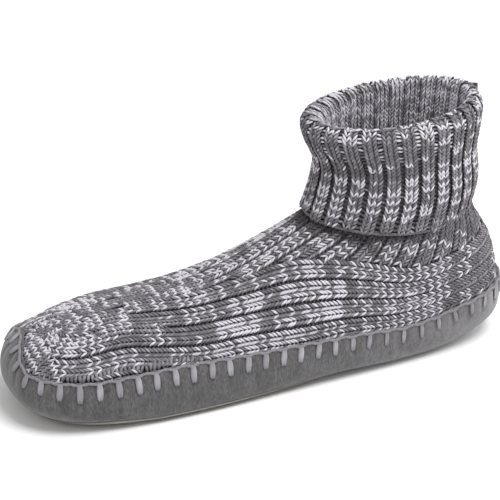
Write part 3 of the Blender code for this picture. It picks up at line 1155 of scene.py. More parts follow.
@dataclass
class FootKnit:
    """Stitches of the foot: ribs from the toe over the instep, and the band of ribs above the suede."""

    last: Last
    around: Around
    stitcher: Stitcher
    band_ribs: int = 4
    band_reach: int = 48
    band_start_x: float = -110.0
    ladder: Span = (-0.6, 2.3)
    ladder_end: Span = (-52.0, -36.0)
    ladder_share: float = 0.9
    ladder_sunk: float = 0.05
    ladder_broad: float = 1.5
    creases: tuple[Crease, ...] = (
        Crease(-126.0, 10.0, 9.4),
        Crease(-101.0, 12.0, 9.8),
        Crease(-78.0, 13.8, 10.2),
        Crease(-60.0, 10.5, 10.2),
        Crease(-41.0, 7.8, 10.2),
        Crease(-18.0, 8.6, 10.0),
        Crease(14.0, 8.6, 10.8),
        Crease(30.0, 8.9, 9.8),
        Crease(55.0, 7.4, 8.4),
        Crease(72.0, 7.2, 7.3),
        Crease(92.0, 7.3, 7.2),
        Crease(126.0, 8.0, 7.6),
    )
    band_starts: tuple[float, ...] = (-128.0, -122.0, -66.0, -80.0, -62.0)
    upper_starts: tuple[float, ...] = (-38.0, -43.0, -49.0, -56.0, -62.0)
    start_length: float = 20.0
    purl_from: float = 0.7
    plain_sink: float = 1.1
    # bar_white and the dims paint shade into the gutters' purl bars: the instep's darkest, the ladder's
    # not dimmed further
    bar_white: float = 0.4
    ladder_dim: float = 1.0
    instep_dim: float = 0.2
    # painted shadow under the cuff's hem: its strength, reach, start and fade
    hem_shadow: float = 0.92
    hem_reach: Span = (-8.5, -3.5)
    hem_front: float = -0.08
    hem_fade: Span = (0.45, 0.75)
    hem_fade_depth: float = 0.6
    ridge_half: float = 4.3
    ridge_clear: float = 3.87
    edge_tuck: float = 1.0
    seam_room: float = 0.5
    bend_x: float = 25.0
    upper_ribs: int = 18
    ball_place: float = 9.0
    least_scale: float = 0.5
    place_steps: int = 421
    turn_steps: int = 241
    tree_places: int = 260
    look_ahead: float = 0.02
    band_step: float = 1.0
    band_look: float = 0.5
    band_margin: float = 1.001
    band_number: int = 60
    leg_top_z: float = 84.0
    zero_x: float = -59.0
    upper_level: float = 0.8
    pooling: Table = (
        (-126.0, 0.34), (-100.0, 0.42), (-84.0, 0.38), (-62.0, 0.14),
        (-45.0, 0.22), (-36.0, 0.34), (-20.0, 0.36), (-13.0, 0.3),
        (8.0, 0.32), (32.0, 0.34), (42.0, 0.26), (60.0, 0.46),
        (84.0, 0.46), (92.0, 0.12), (104.0, 0.05),
    )
    pools: Table = ((-50.0, 0.0), (-38.0, 0.34), (30.0, 0.34), (42.0, 0.0))
    alternation: Table = (
        (-126.0, 0.75), (-64.0, 0.8), (-40.0, 0.65), (34.0, 0.65),
        (50.0, 0.9), (126.0, 0.9),
    )

    def __post_init__(self) -> None:
        """Measure the skin and the band."""
        self.skin = Skin(self.last.rows(0.0), self.last.mid_length_x)
        self.tree = self.skin.tree(self.tree_places, self.turn_steps)
        self.places = np.linspace(0.0, len(self.skin.rows) - 1.0, self.place_steps)
        self.turns = np.linspace(0.0, math.pi, self.turn_steps)
        grid = self.skin.at(self.places[:, None], self.turns[None, :])
        self.arcs = np.array([walked(line) for line in grid])
        edge = self.around.edge(self.tree)[: self.around.near]
        self.band = self.around.climb(self.tree, edge, self.band_step, self.band_reach)
        self.stations = np.arange(len(self.band), dtype=float)
        xs, firsts, pitches = np.array(self.creases).T
        self.first = curve_through(xs, firsts, edge[:, 0])
        self.rib_pitch = curve_through(xs, pitches, edge[:, 0])
        self.band_top = self._band_top()

    def _across(self) -> tuple[float, ...]:
        """Places across one rib of its two knit columns, its gutter and the loops under it."""
        return -self.stitcher.wale, self.stitcher.wale, 0.5, 0.0

    @staticmethod
    def _order(across: float) -> int:
        """Number of a column within its rib."""
        return int(across >= 0.0) + int(across == 0.5)

    def _band_top(self) -> Array:
        """Upper limit of the band, kept clear of the ridge of the foot."""
        rows = []
        for line, top in zip(self.band, self.first + (self.band_ribs - 1) * self.rib_pitch):
            past = line[:, 1] > -self.ridge_half
            reach = np.argmax(past) if past.any() else len(line) - 1
            rows.append(line[min(reach, round(top), len(line) - 1)])
        return np.array(rows)

    def _ribbed(self, x: Array, start: float) -> Array:
        """How far plain knitting has turned into ribs behind the start of a gutter."""
        return smooth(start, start + self.start_length, x)

    def _in_band(self, point: Array) -> Array:
        """Whether points of the near side lie in the band above the suede."""
        top = self.band_top[self.around.toe_steps // 2 :]
        order = np.argsort(top[:, 0])
        x, y, z = point.T
        limit_y = np.interp(x, top[order, 0], top[order, 1])
        limit_z = np.interp(x, top[order, 0], top[order, 2])
        front = (y < limit_y) & (x < self.bend_x)
        rear = (z < limit_z) & (x >= self.bend_x)
        return (x > self.band_start_x) & (front | rear)

    def _turn_line(self, arc: float) -> Array:
        """Turn at each place for a line at a constant distance from the ridge."""
        return np.array([np.interp(arc, arcs, self.turns) for arcs in self.arcs])

    def _line_places(self, arc: float) -> tuple[Array, Array]:
        """Stitches at even steps along a line, counted from the ball of the foot.

        Args:
            arc: distance of the line from the ridge of the foot.

        Returns:
            Places along the rows and whole course numbers.
        """
        along = walked(self.skin.at(self.places, self._turn_line(arc)))
        zero = np.interp(self.ball_place, self.places, along)
        step = self.stitcher.course
        course = np.arange(math.ceil(-zero / step), int((along[-1] - zero) / step))
        return np.interp(course * step + zero, along, self.places), course

    def _upper_column(self, rib: int, across: float, mirror: bool) -> StitchColumn:
        """One column of the toe, the instep and the leg, where it really shows.

        Args:
            rib: number of the rib from the ridge of the foot.
            across: the column's place across the rib, as a share of the pitch.
            mirror: whether it is for the far side, where the suede's edge is another.

        Returns:
            The column as it would lie on the near side.
        """
        pitch = self.stitcher.pitch
        arc = (rib + across) * pitch
        own, own_course = self._line_places(arc)
        shared, shared_course = self._line_places(rib * pitch)
        place = np.concatenate([own[own_course < 0], shared[shared_course >= 0]])
        course = np.concatenate([own_course[own_course < 0], shared_course[shared_course >= 0]])
        turns = self._turn_line(arc)
        turn = np.interp(place, self.places, turns)
        point = self.skin.at(place, turn)
        later = np.minimum(place + self.look_ahead, self.places[-1])
        sooner = np.maximum(place - self.look_ahead, 0.0)
        after = self.skin.at(later, np.interp(later, self.places, turns))
        ahead = unit(after - self.skin.at(sooner, np.interp(sooner, self.places, turns)))
        _, round_ = self.skin.slopes(place, turn)
        normal = np.cross(round_, ahead)
        squeezed = np.clip(np.linalg.norm(normal, axis=1), self.least_scale, 1.0)
        start = self.upper_starts[min(rib, len(self.upper_starts) - 1)]
        number = rib * 3 + self._order(across)
        ribbed = self._ribbed(point[:, 0], start)
        full = np.ones(len(place))
        made = StitchColumn(point, ahead, unit(normal), across, course, number, squeezed, ribbed, full)
        whole = np.interp(place, self.places, self.arcs[:, -1])
        beside = -point[:, 1] if mirror else point[:, 1]
        above = point[:, 2] > self.last.edge_height(point[:, 0], beside) - self.edge_tuck
        below = (arc < whole - self.seam_room) & (point[:, 2] < self.leg_top_z)
        return made.kept(above & below & ~self._in_band(point))._replace(dim=self.instep_dim)

    def upper_columns(self, yarn: Knitting, mirror: bool) -> None:
        """Stitches of the toe, the instep and the leg.

        Args:
            yarn: where the stitches are added.
            mirror: whether the far side is made.
        """
        made = []
        for rib in range(self.upper_ribs):
            for across in self._across():
                if rib + across >= 0.0:
                    made.append(self._upper_column(rib, across, mirror))
        self._dress(yarn, made, mirror, self.upper_level)

    def band_columns(self, yarn: Knitting, mirror: bool) -> None:
        """Stitches of the ribs that run along the suede and round the heel.

        Args:
            yarn: where the stitches are added.
            mirror: whether the far side is made.
        """
        made = []
        step = self.stitcher.course
        sides = self.around.toe_steps
        for rib in range(-1, self.band_ribs):
            line = self._band_at(self.stations, self.first + (rib - 0.5) * self.rib_pitch)
            along = walked(line)
            zero = np.interp(self.zero_x, line[sides:, 0], along[sides:])
            course = np.arange(math.ceil(-zero / step), int((along[-1] - zero) / step))
            station = np.interp(course * step + zero, along, self.stations)
            for across in self._across():
                made.append(self._band_column(rib, across, station, course))
        self._dress(yarn, made, mirror, 1.0)

    def _band_column(self, rib: int, across: float, station: Array, course: Array) -> StitchColumn:
        """One column of the band.

        Args:
            rib: number of the rib from the suede, with -1 for the gutter that lies along the cord.
            across: the column's place across the rib, as a share of the pitch.
            station: where the stitches stand along the band.
            course: their course numbers.

        Returns:
            The column on the near side.
        """
        heights = self.first + (rib - 0.5 + across) * self.rib_pitch
        ladder = rib < 0 and across == 0.5
        room = np.ones(len(heights))
        if ladder:
            low, high = self.ladder
            far = smooth(*self.ladder_end, self.band[:, 0, 0])
            seen = np.maximum(heights, high + (low - high) * far)
            heights = np.where(far < self.ladder_share, seen, low)
            room = self.ladder_sunk * (1.0 - far)
        point, ahead, outward = self._band_frame(station, heights)
        keep = (np.interp(station, self.stations, heights) > 0.0) & self._in_band(point)
        keep = keep & ((point[:, 1] < -self.ridge_clear) | (point[:, 0] > self.bend_x))
        number = self.band_number + rib * 3 + self._order(across)
        scale = np.interp(station, self.stations, self.rib_pitch) / self.stitcher.pitch
        ribbed = self._ribbed(point[:, 0], self.band_starts[rib + 1])
        sunk = np.interp(station, self.stations, room)
        made = StitchColumn(point, ahead, outward, across, course, number, scale, ribbed, sunk)
        made = made.kept(keep)
        return made._replace(dim=self.ladder_dim, broad=self.ladder_broad) if ladder else made

    def _band_frame(self, station: Array, heights: Array) -> tuple[Array, Array, Array]:
        """Points along one column of the band, with their directions.

        Args:
            station: where the stitches stand along the band.
            heights: the column's height at every station of the band.

        Returns:
            Points, directions along the column and outward directions.
        """
        step = self.band_look
        height = np.interp(station, self.stations, heights)
        point = self._band_at(station, height)
        after = self._band_at(station + step, np.interp(station + step, self.stations, heights))
        before = self._band_at(station - step, np.interp(station - step, self.stations, heights))
        ahead = unit(after - before)
        up = unit(self._band_at(station, height + step) - self._band_at(station, height - step))
        return point, ahead, unit(np.cross(ahead, up))

    def _band_at(self, station: Array, height: Array) -> Array:
        """Points of the band between its stations and heights."""
        rows, columns, _ = self.band.shape
        station = np.clip(station, 0.0, rows - self.band_margin)
        height = np.clip(height, 0.0, columns - self.band_margin)
        i = station.astype(int)
        j = height.astype(int)
        u = (station - i)[:, None]
        v = (height - j)[:, None]
        low = self.band[i, j] * (1.0 - u) + self.band[i + 1, j] * u
        high = self.band[i, j + 1] * (1.0 - u) + self.band[i + 1, j + 1] * u
        return low * (1.0 - v) + high * v

    def _dress(self, yarn: Knitting, made: list, mirror: bool, level: float) -> None:
        """Shade the columns and turn them into yarn.

        Args:
            yarn: where the stitches are added.
            made: the columns, as they would lie on the near side.
            mirror: whether they are for the far side.
            level: how much of the usual share of white it has.
        """
        course, number = joined(made)
        x = np.concatenate([column.point[:, 0] for column in made])
        turnabout = share_at(self.alternation, x)
        turns = np.where(course % 2 == 0, 1.0 + turnabout, 1.0 - turnabout)
        share = share_at(self.pooling, x) * turns * level
        shade = self.stitcher.yarn.shades(course, number, share, share_at(self.pools, x), yarn.key)
        # painted shadow: stitches just under the cuff's hem are darkened
        shade = shade * (1.0 - self.hem_shadow * self._under_hem(made))[:, None]
        start = 0
        for column in made:
            tone = shade[start : start + len(column.course)]
            start += len(column.course)
            column = column.flipped() if mirror else column
            if column.across == 0.0:
                self.stitcher.core(yarn.cores, column)
            elif column.across < 0.5:
                self.stitcher.knit(yarn.legs, column, tone)
            else:
                self._gutter(yarn, column, tone)

    def _under_hem(self, made: list) -> Array:
        """How close each stitch lies under the hem of the cuff, from 0 to 1: the weight of the painted
        shadow there.
        """
        x, _, z = np.vstack([column.point for column in made]).T
        hem = self.last.cuff[0]
        along = (x + self.last.mid_length_x - hem.front_x) / (hem.back_x - hem.front_x)
        height = hem.front_z + (hem.back_z - hem.front_z) * along
        height = height - 4.0 * hem.droop * np.clip(along * (1.0 - along), 0.0, None)
        fade = 1.0 - self.hem_fade_depth * smooth(*self.hem_fade, along)
        return smooth(*self.hem_reach, z - height) * (along > self.hem_front) * fade

    def _gutter(self, yarn: Knitting, column: StitchColumn, tone: Array) -> None:
        """Plain knitting that sinks where a gutter starts, and the purl bars behind it.

        Args:
            yarn: where the stitches are added.
            column: the gutter's stitches.
            tone: shades of each stitch's two legs.
        """
        plain = column.ribbed < self.purl_from
        start = column.kept(plain)
        start = start.raised(-self.plain_sink * start.ribbed)
        start = start._replace(across=0.0, ribbed=np.zeros(len(start.point)))
        self.stitcher.knit(yarn.legs, start, tone[plain])
        # purl bars are painted darker than the legs, whites capped and all scaled by the column's dim:
        # painted shade in the gutters
        shade = np.minimum(tone[~plain, 0], self.bar_white) * column.dim
        self.stitcher.purl(yarn.bars, column.kept(~plain), shade)


@dataclass
class CuffKnit:
    """Stitches that run up inside the collar, over the fold and down the turned cuff to its hem."""

    last: Last
    stitcher: Stitcher
    ribs: int = 26
    gutter_turn: float = 1.349
    inner_from: int = 18
    wale: float = 0.152
    lean: float = 0.52
    inside_depth: float = 0.5
    inside_painted_light: float = 0.25
    inside_dim: float = 0.7
    inside_lean: float = 0.34
    crest_lift: float = 0.85
    crest_reach: float = 7.0
    fold_depth: float = 0.45
    fold_fade: Span = (11.0, 22.0)
    # fold_gain: how much less painted shade the purl bars get near the fold
    fold_gain: float = 0.95
    hem_flat: float = 0.7
    hem_fade: float = 7.0
    hem_step: float = 1.9
    hem_shade: float = 0.22
    hem_shade_spread: float = 0.12
    hem_size: float = 1.15
    hem_sink: float = 0.7
    hem_reach: float = 0.2
    hem_slope: float = 0.15
    waist_rows: float = 3.0
    turn_steps: int = 721
    place_steps: int = 300
    white_from: int = 14
    first_white: float = 0.75
    skipped_share: float = 0.07
    # bar_white and bar_grey paint shade into the purl bars of the gutters
    bar_white: float = 0.44
    bar_grey: float = 0.29
    bar_white_from: float = 0.8
    gutter_key: int = 50
    cuff_share: Table = (
        (-40.0, 0.1), (-26.0, 0.16), (-18.0, 0.4), (-9.0, 0.4),
        (-4.0, 0.16), (1.0, 0.55), (4.0, 0.4), (7.0, 0.06),
        (27.0, 0.05), (29.0, 0.66), (48.0, 0.66), (51.0, 0.1),
    )
    gutter_share: Table = (
        (-40.0, 0.2), (0.0, 0.3), (3.0, 0.6), (16.0, 0.5),
        (22.0, 0.1), (60.0, 0.05),
    )

    def __post_init__(self) -> None:
        """Lay out the sheet from inside the leg, over the fold, to the hem."""
        inner = self.last.rows(-self.last.knit_wall)[self.inner_from :]
        outer = np.array(self.last.cuff)[::-1]
        self.crest = float(len(inner))
        self.skin = Skin(np.vstack([inner, outer]), self.last.mid_length_x)
        self.inner_stitcher = replace(self.stitcher, lean=self.inside_lean)
        self.stitcher = replace(self.stitcher, lean=self.lean)

    def _rib_turns(self) -> Array:
        """Turn of the middle of each rib, evenly spaced round the cuff's waist."""
        turn = np.linspace(0.0, 2.0 * math.pi, self.turn_steps)
        waist = np.full(self.turn_steps, self.crest + self.waist_rows)
        along = walked(self.skin.at(waist, turn))
        gutter = np.interp(self.gutter_turn, turn, along)
        middle = gutter + (np.arange(self.ribs) + 0.5) / self.ribs * along[-1]
        return np.interp(middle % along[-1], along, turn)

    def _depths(self, course: Array, inside: bool) -> tuple[Array, Array]:
        """How the ribs stand proud and the gutters lie sunk, for each stitch of a column.

        Args:
            course: course numbers, from the fold.
            inside: whether the column lies inside the collar.

        Returns:
            Shares of the full crown and of the full depth.
        """
        if inside:
            even = np.full(len(course), self.inside_depth)
            return even, even
        below = course * self.stitcher.course
        proud = 1.0 - self.hem_flat * smooth(below.max() - self.hem_fade, below.max(), below)
        return proud, proud * (self.fold_depth + (1.0 - self.fold_depth) * smooth(*self.fold_fade, below))

    def columns(self, yarn: Knitting, inside: bool) -> None:
        """Stitches of the cuff or of the inside of the collar.

        Args:
            yarn: where the stitches are added.
            inside: whether the part inside the fold is made.
        """
        step = self.stitcher.course
        middle = self._rib_turns()
        places = np.linspace(0.0, len(self.skin.rows) - 1.0, self.place_steps)
        made = []
        for rib, turn in enumerate(middle):
            width = (middle[(rib + 1) % self.ribs] - middle[rib - 1]) % (2.0 * math.pi) / 2.0
            along = walked(self.skin.at(places, np.full(self.place_steps, turn)))
            crest = np.interp(self.crest, places, along)
            course = np.arange(math.ceil(-crest / step), int((along[-1] - crest) / step) + 1)
            course = course[course < 0] if inside else course[course >= 0]
            place = np.interp(course * step + crest, along, places)
            proud, sunk = self._depths(course, inside)
            lift = self.crest_lift * (1.0 - smooth(0.0, self.crest_reach, np.abs(course) * step))
            for across in (-self.wale, self.wale, 0.5, 0.0):
                at = np.full(len(place), turn + across * width)
                point = self.skin.at(place, at)
                edge = self.skin.at(place, at + 0.5 * width) - self.skin.at(place, at - 0.5 * width)
                scale = np.linalg.norm(edge, axis=1) / self.stitcher.pitch
                ahead, round_ = self.skin.slopes(place, at)
                outward = unit(np.cross(ahead, round_))
                number = rib * 3 + (across > 0.0) + (across > 0.4)
                column = StitchColumn(point, ahead, outward, across, course, number, scale, proud, sunk)
                made.append(column if across == 0.5 else column.raised(lift))
        self._dress(yarn, made, inside)
        if not inside:
            self._hem(yarn.bars)

    def _hem(self, bars: Yarn) -> None:
        """Cast-off loops that lie close together round the hem."""
        end = len(self.skin.rows) - 1.0
        turn = np.linspace(0.0, 2.0 * math.pi, self.turn_steps)
        along = walked(self.skin.at(np.full(self.turn_steps, end), turn))
        count = round(along[-1] / self.hem_step)
        at = np.interp(np.arange(count) * along[-1] / count, along, turn)
        place = np.full(count, end)
        ahead, round_ = self.skin.slopes(place, at)
        outward = unit(np.cross(ahead, round_))
        point = self.skin.at(place, at) - outward * self.hem_sink + ahead * self.hem_reach
        way = unit(round_ + ahead * self.hem_slope)
        # the hem loops are dark grey: partly the plain grey yarn of the hem, partly painted shade where
        # the hem rolls under
        shade = self.hem_shade + self.stitcher.jitter(count, self.hem_shade_spread)
        bars.add(point, way, outward, np.full((count, 3), self.hem_size), shade)

    def _dress(self, yarn: Knitting, made: list, inside: bool) -> None:
        """Shade the columns and turn them into yarn.

        Args:
            yarn: where the stitches are added.
            made: the columns.
            inside: whether they lie inside the collar.
        """
        stitcher = self.stitcher
        course, number = joined(made)
        below = course * stitcher.course
        share = share_at(self.cuff_share, below)
        share = np.where((course > self.white_from) & (course % 2 == 0), self.skipped_share, share)
        share = np.where(course == self.white_from, self.first_white, share)
        # painted light: the stitches inside the collar are lightened to make up for the shade there
        gain = self.inside_painted_light if inside else 0.0
        none = np.zeros(len(course))
        shade = stitcher.yarn.shades(course, number, share, none, yarn.key) + gain
        share = share_at(self.gutter_share, below)
        key = yarn.key + self.gutter_key
        gutters = stitcher.yarn.shades(course, number, share, none, key)[:, 0]
        # purl bars are painted darker than the legs as shade in the gutters, less so near the fold where
        # the gutters lie shallow
        bar = np.where(gutters > self.bar_white_from, self.bar_white, gutters * self.bar_grey)
        bar = bar * (1.0 + self.fold_gain * (1.0 - smooth(*self.fold_fade, below)))
        start = 0
        for column in made:
            stop = start + len(column.course)
            if column.across == 0.0:
                narrow = column.scale * self.wale / stitcher.wale
                stitcher.core(yarn.cores, column._replace(scale=narrow))
            elif column.across < 0.5:
                hand = self.inner_stitcher if inside else stitcher
                hand.knit(yarn.legs, column, shade[start:stop])
            elif inside:
                # inside the collar the gutters hold sunk legs, painted darker as shade
                low = column.raised(-stitcher.gutter_drop * column.sunk)._replace(across=0.0)
                self.inner_stitcher.knit(yarn.legs, low, self.inside_dim * shade[start:stop])
            else:
                stitcher.purl(yarn.bars, column, bar[start:stop])
            start = stop


@dataclass
class Upper:
    """The knitted upper: its wall, dark with painted shade, and all its stitches."""

    last: Last
    around: Around
    layer: YarnLayer
    wall_around: int = 144
    wall_steps: int = 5
    end_steps: int = 361
    early_rows: float = 2.0
    early_steps: int = 400
    sink: float = 1.5
    lining: float = 1.9
    toe_sink: float = 1.1
    toe_from_x: float = -125.0
    toe_to_x: float = -95.0
    tuck: float = 13.0
    instep_key: int = 1
    band_key: int = 3
    cuff_key: int = 5

    def _ends(self, place: Array, skin: Skin) -> Array:
        """How far round each row the wall reaches before it ends inside the cup."""
        turn = np.linspace(0.0, math.pi, self.end_steps)
        grid = skin.at(place[:, None], turn[None, :])
        cut = grid[..., 2] < self.last.edge_height(grid[..., 0], grid[..., 1]) - self.tuck
        return np.where(cut.any(axis=1), turn[np.argmax(cut, axis=1)], math.pi)

    def _sheets(self) -> tuple[list, Array]:
        """The wall's four sheets, from the toe up the leg, over the fold and back inside, and its ends."""
        last = self.last
        outer, raised, inner = (
            Skin(last.rows(grow), last.mid_length_x)
            for grow in (-self.sink, -self.toe_sink, -self.lining)
        )
        top = len(outer.rows) - 1.0
        early = np.linspace(0.0, self.early_rows, self.early_steps)
        first = early[np.argmax(self._ends(early, inner) > 0.0)]
        place = np.linspace(first, top, int(top) * self.wall_steps + 1)
        reach = np.minimum(self._ends(place, inner), self._ends(place, outer))
        share = np.linspace(-1.0, 1.0, self.wall_around + 1)
        turn = reach[:, None] * share[None, :]
        foot = outer.at(place[:, None], turn)
        proud = raised.at(place[:, None], turn)
        foot = proud + (foot - proud) * smooth(self.toe_from_x, self.toe_to_x, foot[..., :1])
        cuff = np.array(last.cuff)
        sheets = [foot]
        for rows in (last.grown(cuff[:-1], -self.lining)[::-1], last.grown(cuff, -self.sink)):
            steps = np.linspace(0.0, len(rows) - 1.0, (len(rows) - 1) * self.wall_steps + 1)
            sheets.append(Skin(rows, last.mid_length_x).at(steps[:, None], math.pi * share[None, :]))
        sheets[-1][-1, :, 2] -= self.sink
        sheets.append(inner.at(place[:, None], turn)[::-1])
        return sheets, reach

    def wall(self, finish: Material) -> Object:
        """The fabric behind the stitches as one hollow wall, a little inside the knitted faces."""
        sheets, reach = self._sheets()
        grid = np.vstack(sheets)
        rows, columns, _ = grid.shape
        faces = grid_faces(rows, columns)
        for j in range(columns - 1):
            inside = (rows - 1) * columns + j
            faces.append((j, inside, inside + 1, j + 1))
        for i in np.flatnonzero(reach < math.pi):
            for j in (0, columns - 1):
                inside = (rows - 1 - i) * columns + j
                faces.append((i * columns + j, (i + 1) * columns + j, inside - columns, inside))
        return mesh_piece("knit_wall", self.last.swayed(grid.reshape(-1, 3)), faces, finish)

    def build(self, wool: Material, back: Material) -> None:
        """Make the wall and lay the stitches, piece by piece."""
        install(self.wall(back), Slot.KNIT, "knit_upper")
        stitcher = Stitcher()
        foot = FootKnit(self.last, self.around, stitcher)
        yarn = Knitting(Yarn(), Yarn(), Yarn())
        for mirror, side in ((False, "near"), (True, "far")):
            yarn = yarn.next_piece(self.instep_key + mirror)
            foot.upper_columns(yarn, mirror)
            self.layer.lay(f"instep_stitches_{side}", yarn.legs, LEG, wool)
            yarn = yarn.next_piece(self.band_key + mirror)
            foot.band_columns(yarn, mirror)
            self.layer.lay(f"band_stitches_{side}", yarn.legs, LEG, wool)
        cuff = CuffKnit(self.last, stitcher)
        cuffs = ((False, "cuff_stitches", LEG), (True, "collar_stitches", INNER_LEG))
        for inside, name, shape in cuffs:
            yarn = yarn.next_piece(self.cuff_key + inside)
            cuff.columns(yarn, inside)
            self.layer.lay(name, yarn.legs, shape, wool)
        self.layer.lay("gutter_purls", yarn.bars, BAR, wool)
        self.layer.lay("rib_cores", yarn.cores, CORE, wool)


@dataclass
class SuedeCup:
    """The suede bottom: rolled edge, puckers, blanket stitches, edge cord and the tread's raw edge."""

    last: Last
    around: Around
    layer: YarnLayer
    samples: int = 1100
    levels: int = 26
    level_power: float = 1.25
    floor_gap: float = 0.02
    floor_ring: float = 0.65
    rim_turns: tuple[float, ...] = (45.0, 90.0, 135.0, 180.0)
    rim_flat: float = 0.7
    lining_drops: tuple[float, ...] = (4.0, 10.0, 18.0)
    lining_room: float = 0.6
    tree_places: int = 240
    tree_turns: int = 241
    seed: int = 23
    stitch_pitch: float = 9.2
    stitch_length: float = 9.0
    stitch_anchor_x: float = -29.3
    stitch_tilt: float = 0.14
    stitch_shade: float = 0.5
    stitch_steps: int = 10
    edge_look: int = 4
    stitch_raise: float = 0.5
    stitch_spread: float = 0.12
    shade_spread: float = 0.1
    strand_spread: float = 0.08
    tip_length: float = 0.7
    tip_reach: Span = (-98.0, -122.0)
    side_length: float = 0.88
    heel_length: float = 0.8
    heel_reach: Span = (-40.0, 60.0)
    heel_slim: float = 0.34
    slim_reach: Span = (0.0, 80.0)
    girth_z: float = 10.0
    pucker: float = 0.5
    swell: float = 0.25
    pucker_half: float = 1.6
    pucker_fade: Span = (5.4, 11.25)
    rim: float = 0.95
    strand_gap: float = 0.45
    strand_lift: float = 0.3
    strand: YarnShape = YarnShape(9.0, 2.4, 1.25, 0.22, 0.36, 0.5, 9, 7, 1.0)
    cord_radius: float = 0.68
    cord_shade: float = 0.43
    cord_sides: int = 10
    cord_twists: float = 190.0
    cord_lobe: float = 0.12
    cord_out: float = 0.05
    cord_sway: float = 0.2
    cord_up: float = 0.5
    cord_dip: float = 0.28
    tread_heights: tuple[float, ...] = (0.3, 1.1, 1.9, 2.6, 3.2, 3.6)
    tread_proud: float = 0.55
    tread_buried: float = 1.0
    tread_end_x: float = 28.0
    tread_fade: float = 14.0
    tread_toe_gain: float = 1.0
    tread_toe_reach: Span = (-60.0, -112.0)

    def __post_init__(self) -> None:
        """Measure the outer and inner faces."""
        last = self.last
        outer = Skin(last.rows(last.clearance + last.suede_wall), last.mid_length_x)
        inner = Skin(last.rows(last.clearance), last.mid_length_x)
        self.outer_tree = outer.tree(self.tree_places, self.tree_turns)
        self.inner_tree = inner.tree(self.tree_places, self.tree_turns)
        self.edge = self.around.edge(self.outer_tree)
        girth = self.around.level(self.outer_tree, np.full(len(self.edge), self.girth_z))
        self.along = walked(np.vstack([girth, girth[:1]]))
        self.at = np.linspace(0.0, self.along[-1], self.samples, endpoint=False)

    def _loop(self, line: Array) -> Array:
        """A loop at even steps round the cup, starting at the toe."""
        line = np.vstack([line, line[:1]])
        return np.stack([np.interp(self.at, self.along, line[:, axis]) for axis in range(3)], axis=1)

    def stitch_stations(self) -> Array:
        """Places round the cup at which the blanket stitches stand, evenly along its edge."""
        length = walked(np.vstack([self.edge, self.edge[:1]]))
        side = slice(self.around.toe_steps, self.around.near)
        anchor = np.interp(self.stitch_anchor_x, self.edge[side, 0], length[side])
        count = round(length[-1] / self.stitch_pitch)
        step = length[-1] / count
        return np.interp(np.arange(count) * step + anchor % step, length, self.along)

    def _stitch_samples(self) -> Array:
        """Sample of the loop at which each blanket stitch stands."""
        return np.searchsorted(self.at, self.stitch_stations()) % self.samples

    def _relief(self, depth: float) -> Array:
        """How far the suede is drawn in by the stitches, at each sample of the loop.

        Args:
            depth: distance below the edge of one level.

        Returns:
            Distance outward for each sample.
        """
        away = np.abs(self.at[:, None] - self.stitch_stations()[None, :])
        away = np.minimum(away, self.along[-1] - away).min(axis=1)
        hold = 1.0 - smooth(*self.pucker_fade, np.full(1, depth))
        drawn = np.exp(-((away / self.pucker_half) ** 2))
        return hold * (self.swell * (1.0 - drawn) - self.pucker * drawn)

    def _level(self, tree: BVHTree, height: Array) -> Array:
        """A loop at a height for each station."""
        return self._loop(self.around.level(tree, height))

    def _outward(self, ring: Array) -> Array:
        """Level outward direction at each point of a loop."""
        ahead = np.roll(ring, -1, axis=0) - np.roll(ring, 1, axis=0)
        return unit(np.stack([ahead[:, 1], -ahead[:, 0], np.zeros(len(ring))], axis=1))

    def shell(self, finish: Material) -> Object:
        """The cup as one closed shell."""
        centre, _ = self.around.stations()
        edge_z = self.edge[:, 2]
        low = np.full(len(edge_z), self.floor_gap)
        floor_line = self._level(self.outer_tree, low)
        floor_line[:, 2] = 0.0
        middle = self._loop(centre)
        rings = [middle, middle * (1.0 - self.floor_ring) + floor_line * self.floor_ring]
        for fraction in np.linspace(0.0, 1.0, self.levels) ** self.level_power:
            ring = self._level(self.outer_tree, low + (edge_z - low) * fraction)
            depth = float(np.mean(edge_z) * (1.0 - fraction))
            rings.append(ring + self._outward(ring) * self._relief(depth)[:, None])
        edge = rings[-1]
        out = self._outward(edge)
        for angle in self.rim_turns:
            turn = math.radians(angle)
            rise = np.array([0.0, 0.0, self.rim_flat * self.rim * math.sin(turn)])
            rings.append(edge - out * (self.rim * (1.0 - math.cos(turn))) + rise)
        for drop in self.lining_drops:
            height = np.maximum(edge_z - drop, self.last.sole_floor + self.lining_room)
            rings.append(self._level(self.inner_tree, height))
        rings.append(self._level(self.inner_tree, np.full(len(edge_z), self.last.sole_floor)))
        rings.append(middle + np.array([0.0, 0.0, self.last.sole_floor]))
        points = self.last.swayed(np.vstack(rings))
        return mesh_piece("suede_cup", points, ring_faces(len(rings), self.samples), finish)

    def _square_lines(self, top: Array, out: Array) -> Array:
        """Lines that run down the suede from every stitch, square to the edge.

        Args:
            top: the suede's edge at every sample.
            out: level outward directions there.

        Returns:
            Points by stitch and step.
        """
        pick = self._stitch_samples()
        ahead = unit(np.roll(top, -self.edge_look, axis=0) - np.roll(top, self.edge_look, axis=0))
        step = self.stitch_length / self.stitch_steps
        lines = []
        for start, way, away in zip(top[pick], ahead[pick], out[pick]):
            line = [Vector(start)]
            for _ in range(self.stitch_steps):
                _, normal, _, _ = self.outer_tree.find_nearest(line[-1])
                normal = normal if normal.dot(Vector(away)) > 0.0 else -normal
                down = Vector(way).cross(normal).normalized()
                near, _, _, _ = self.outer_tree.find_nearest(line[-1] + down * step)
                line.append(near)
            lines.append([list(point) for point in line])
        return np.array(lines)

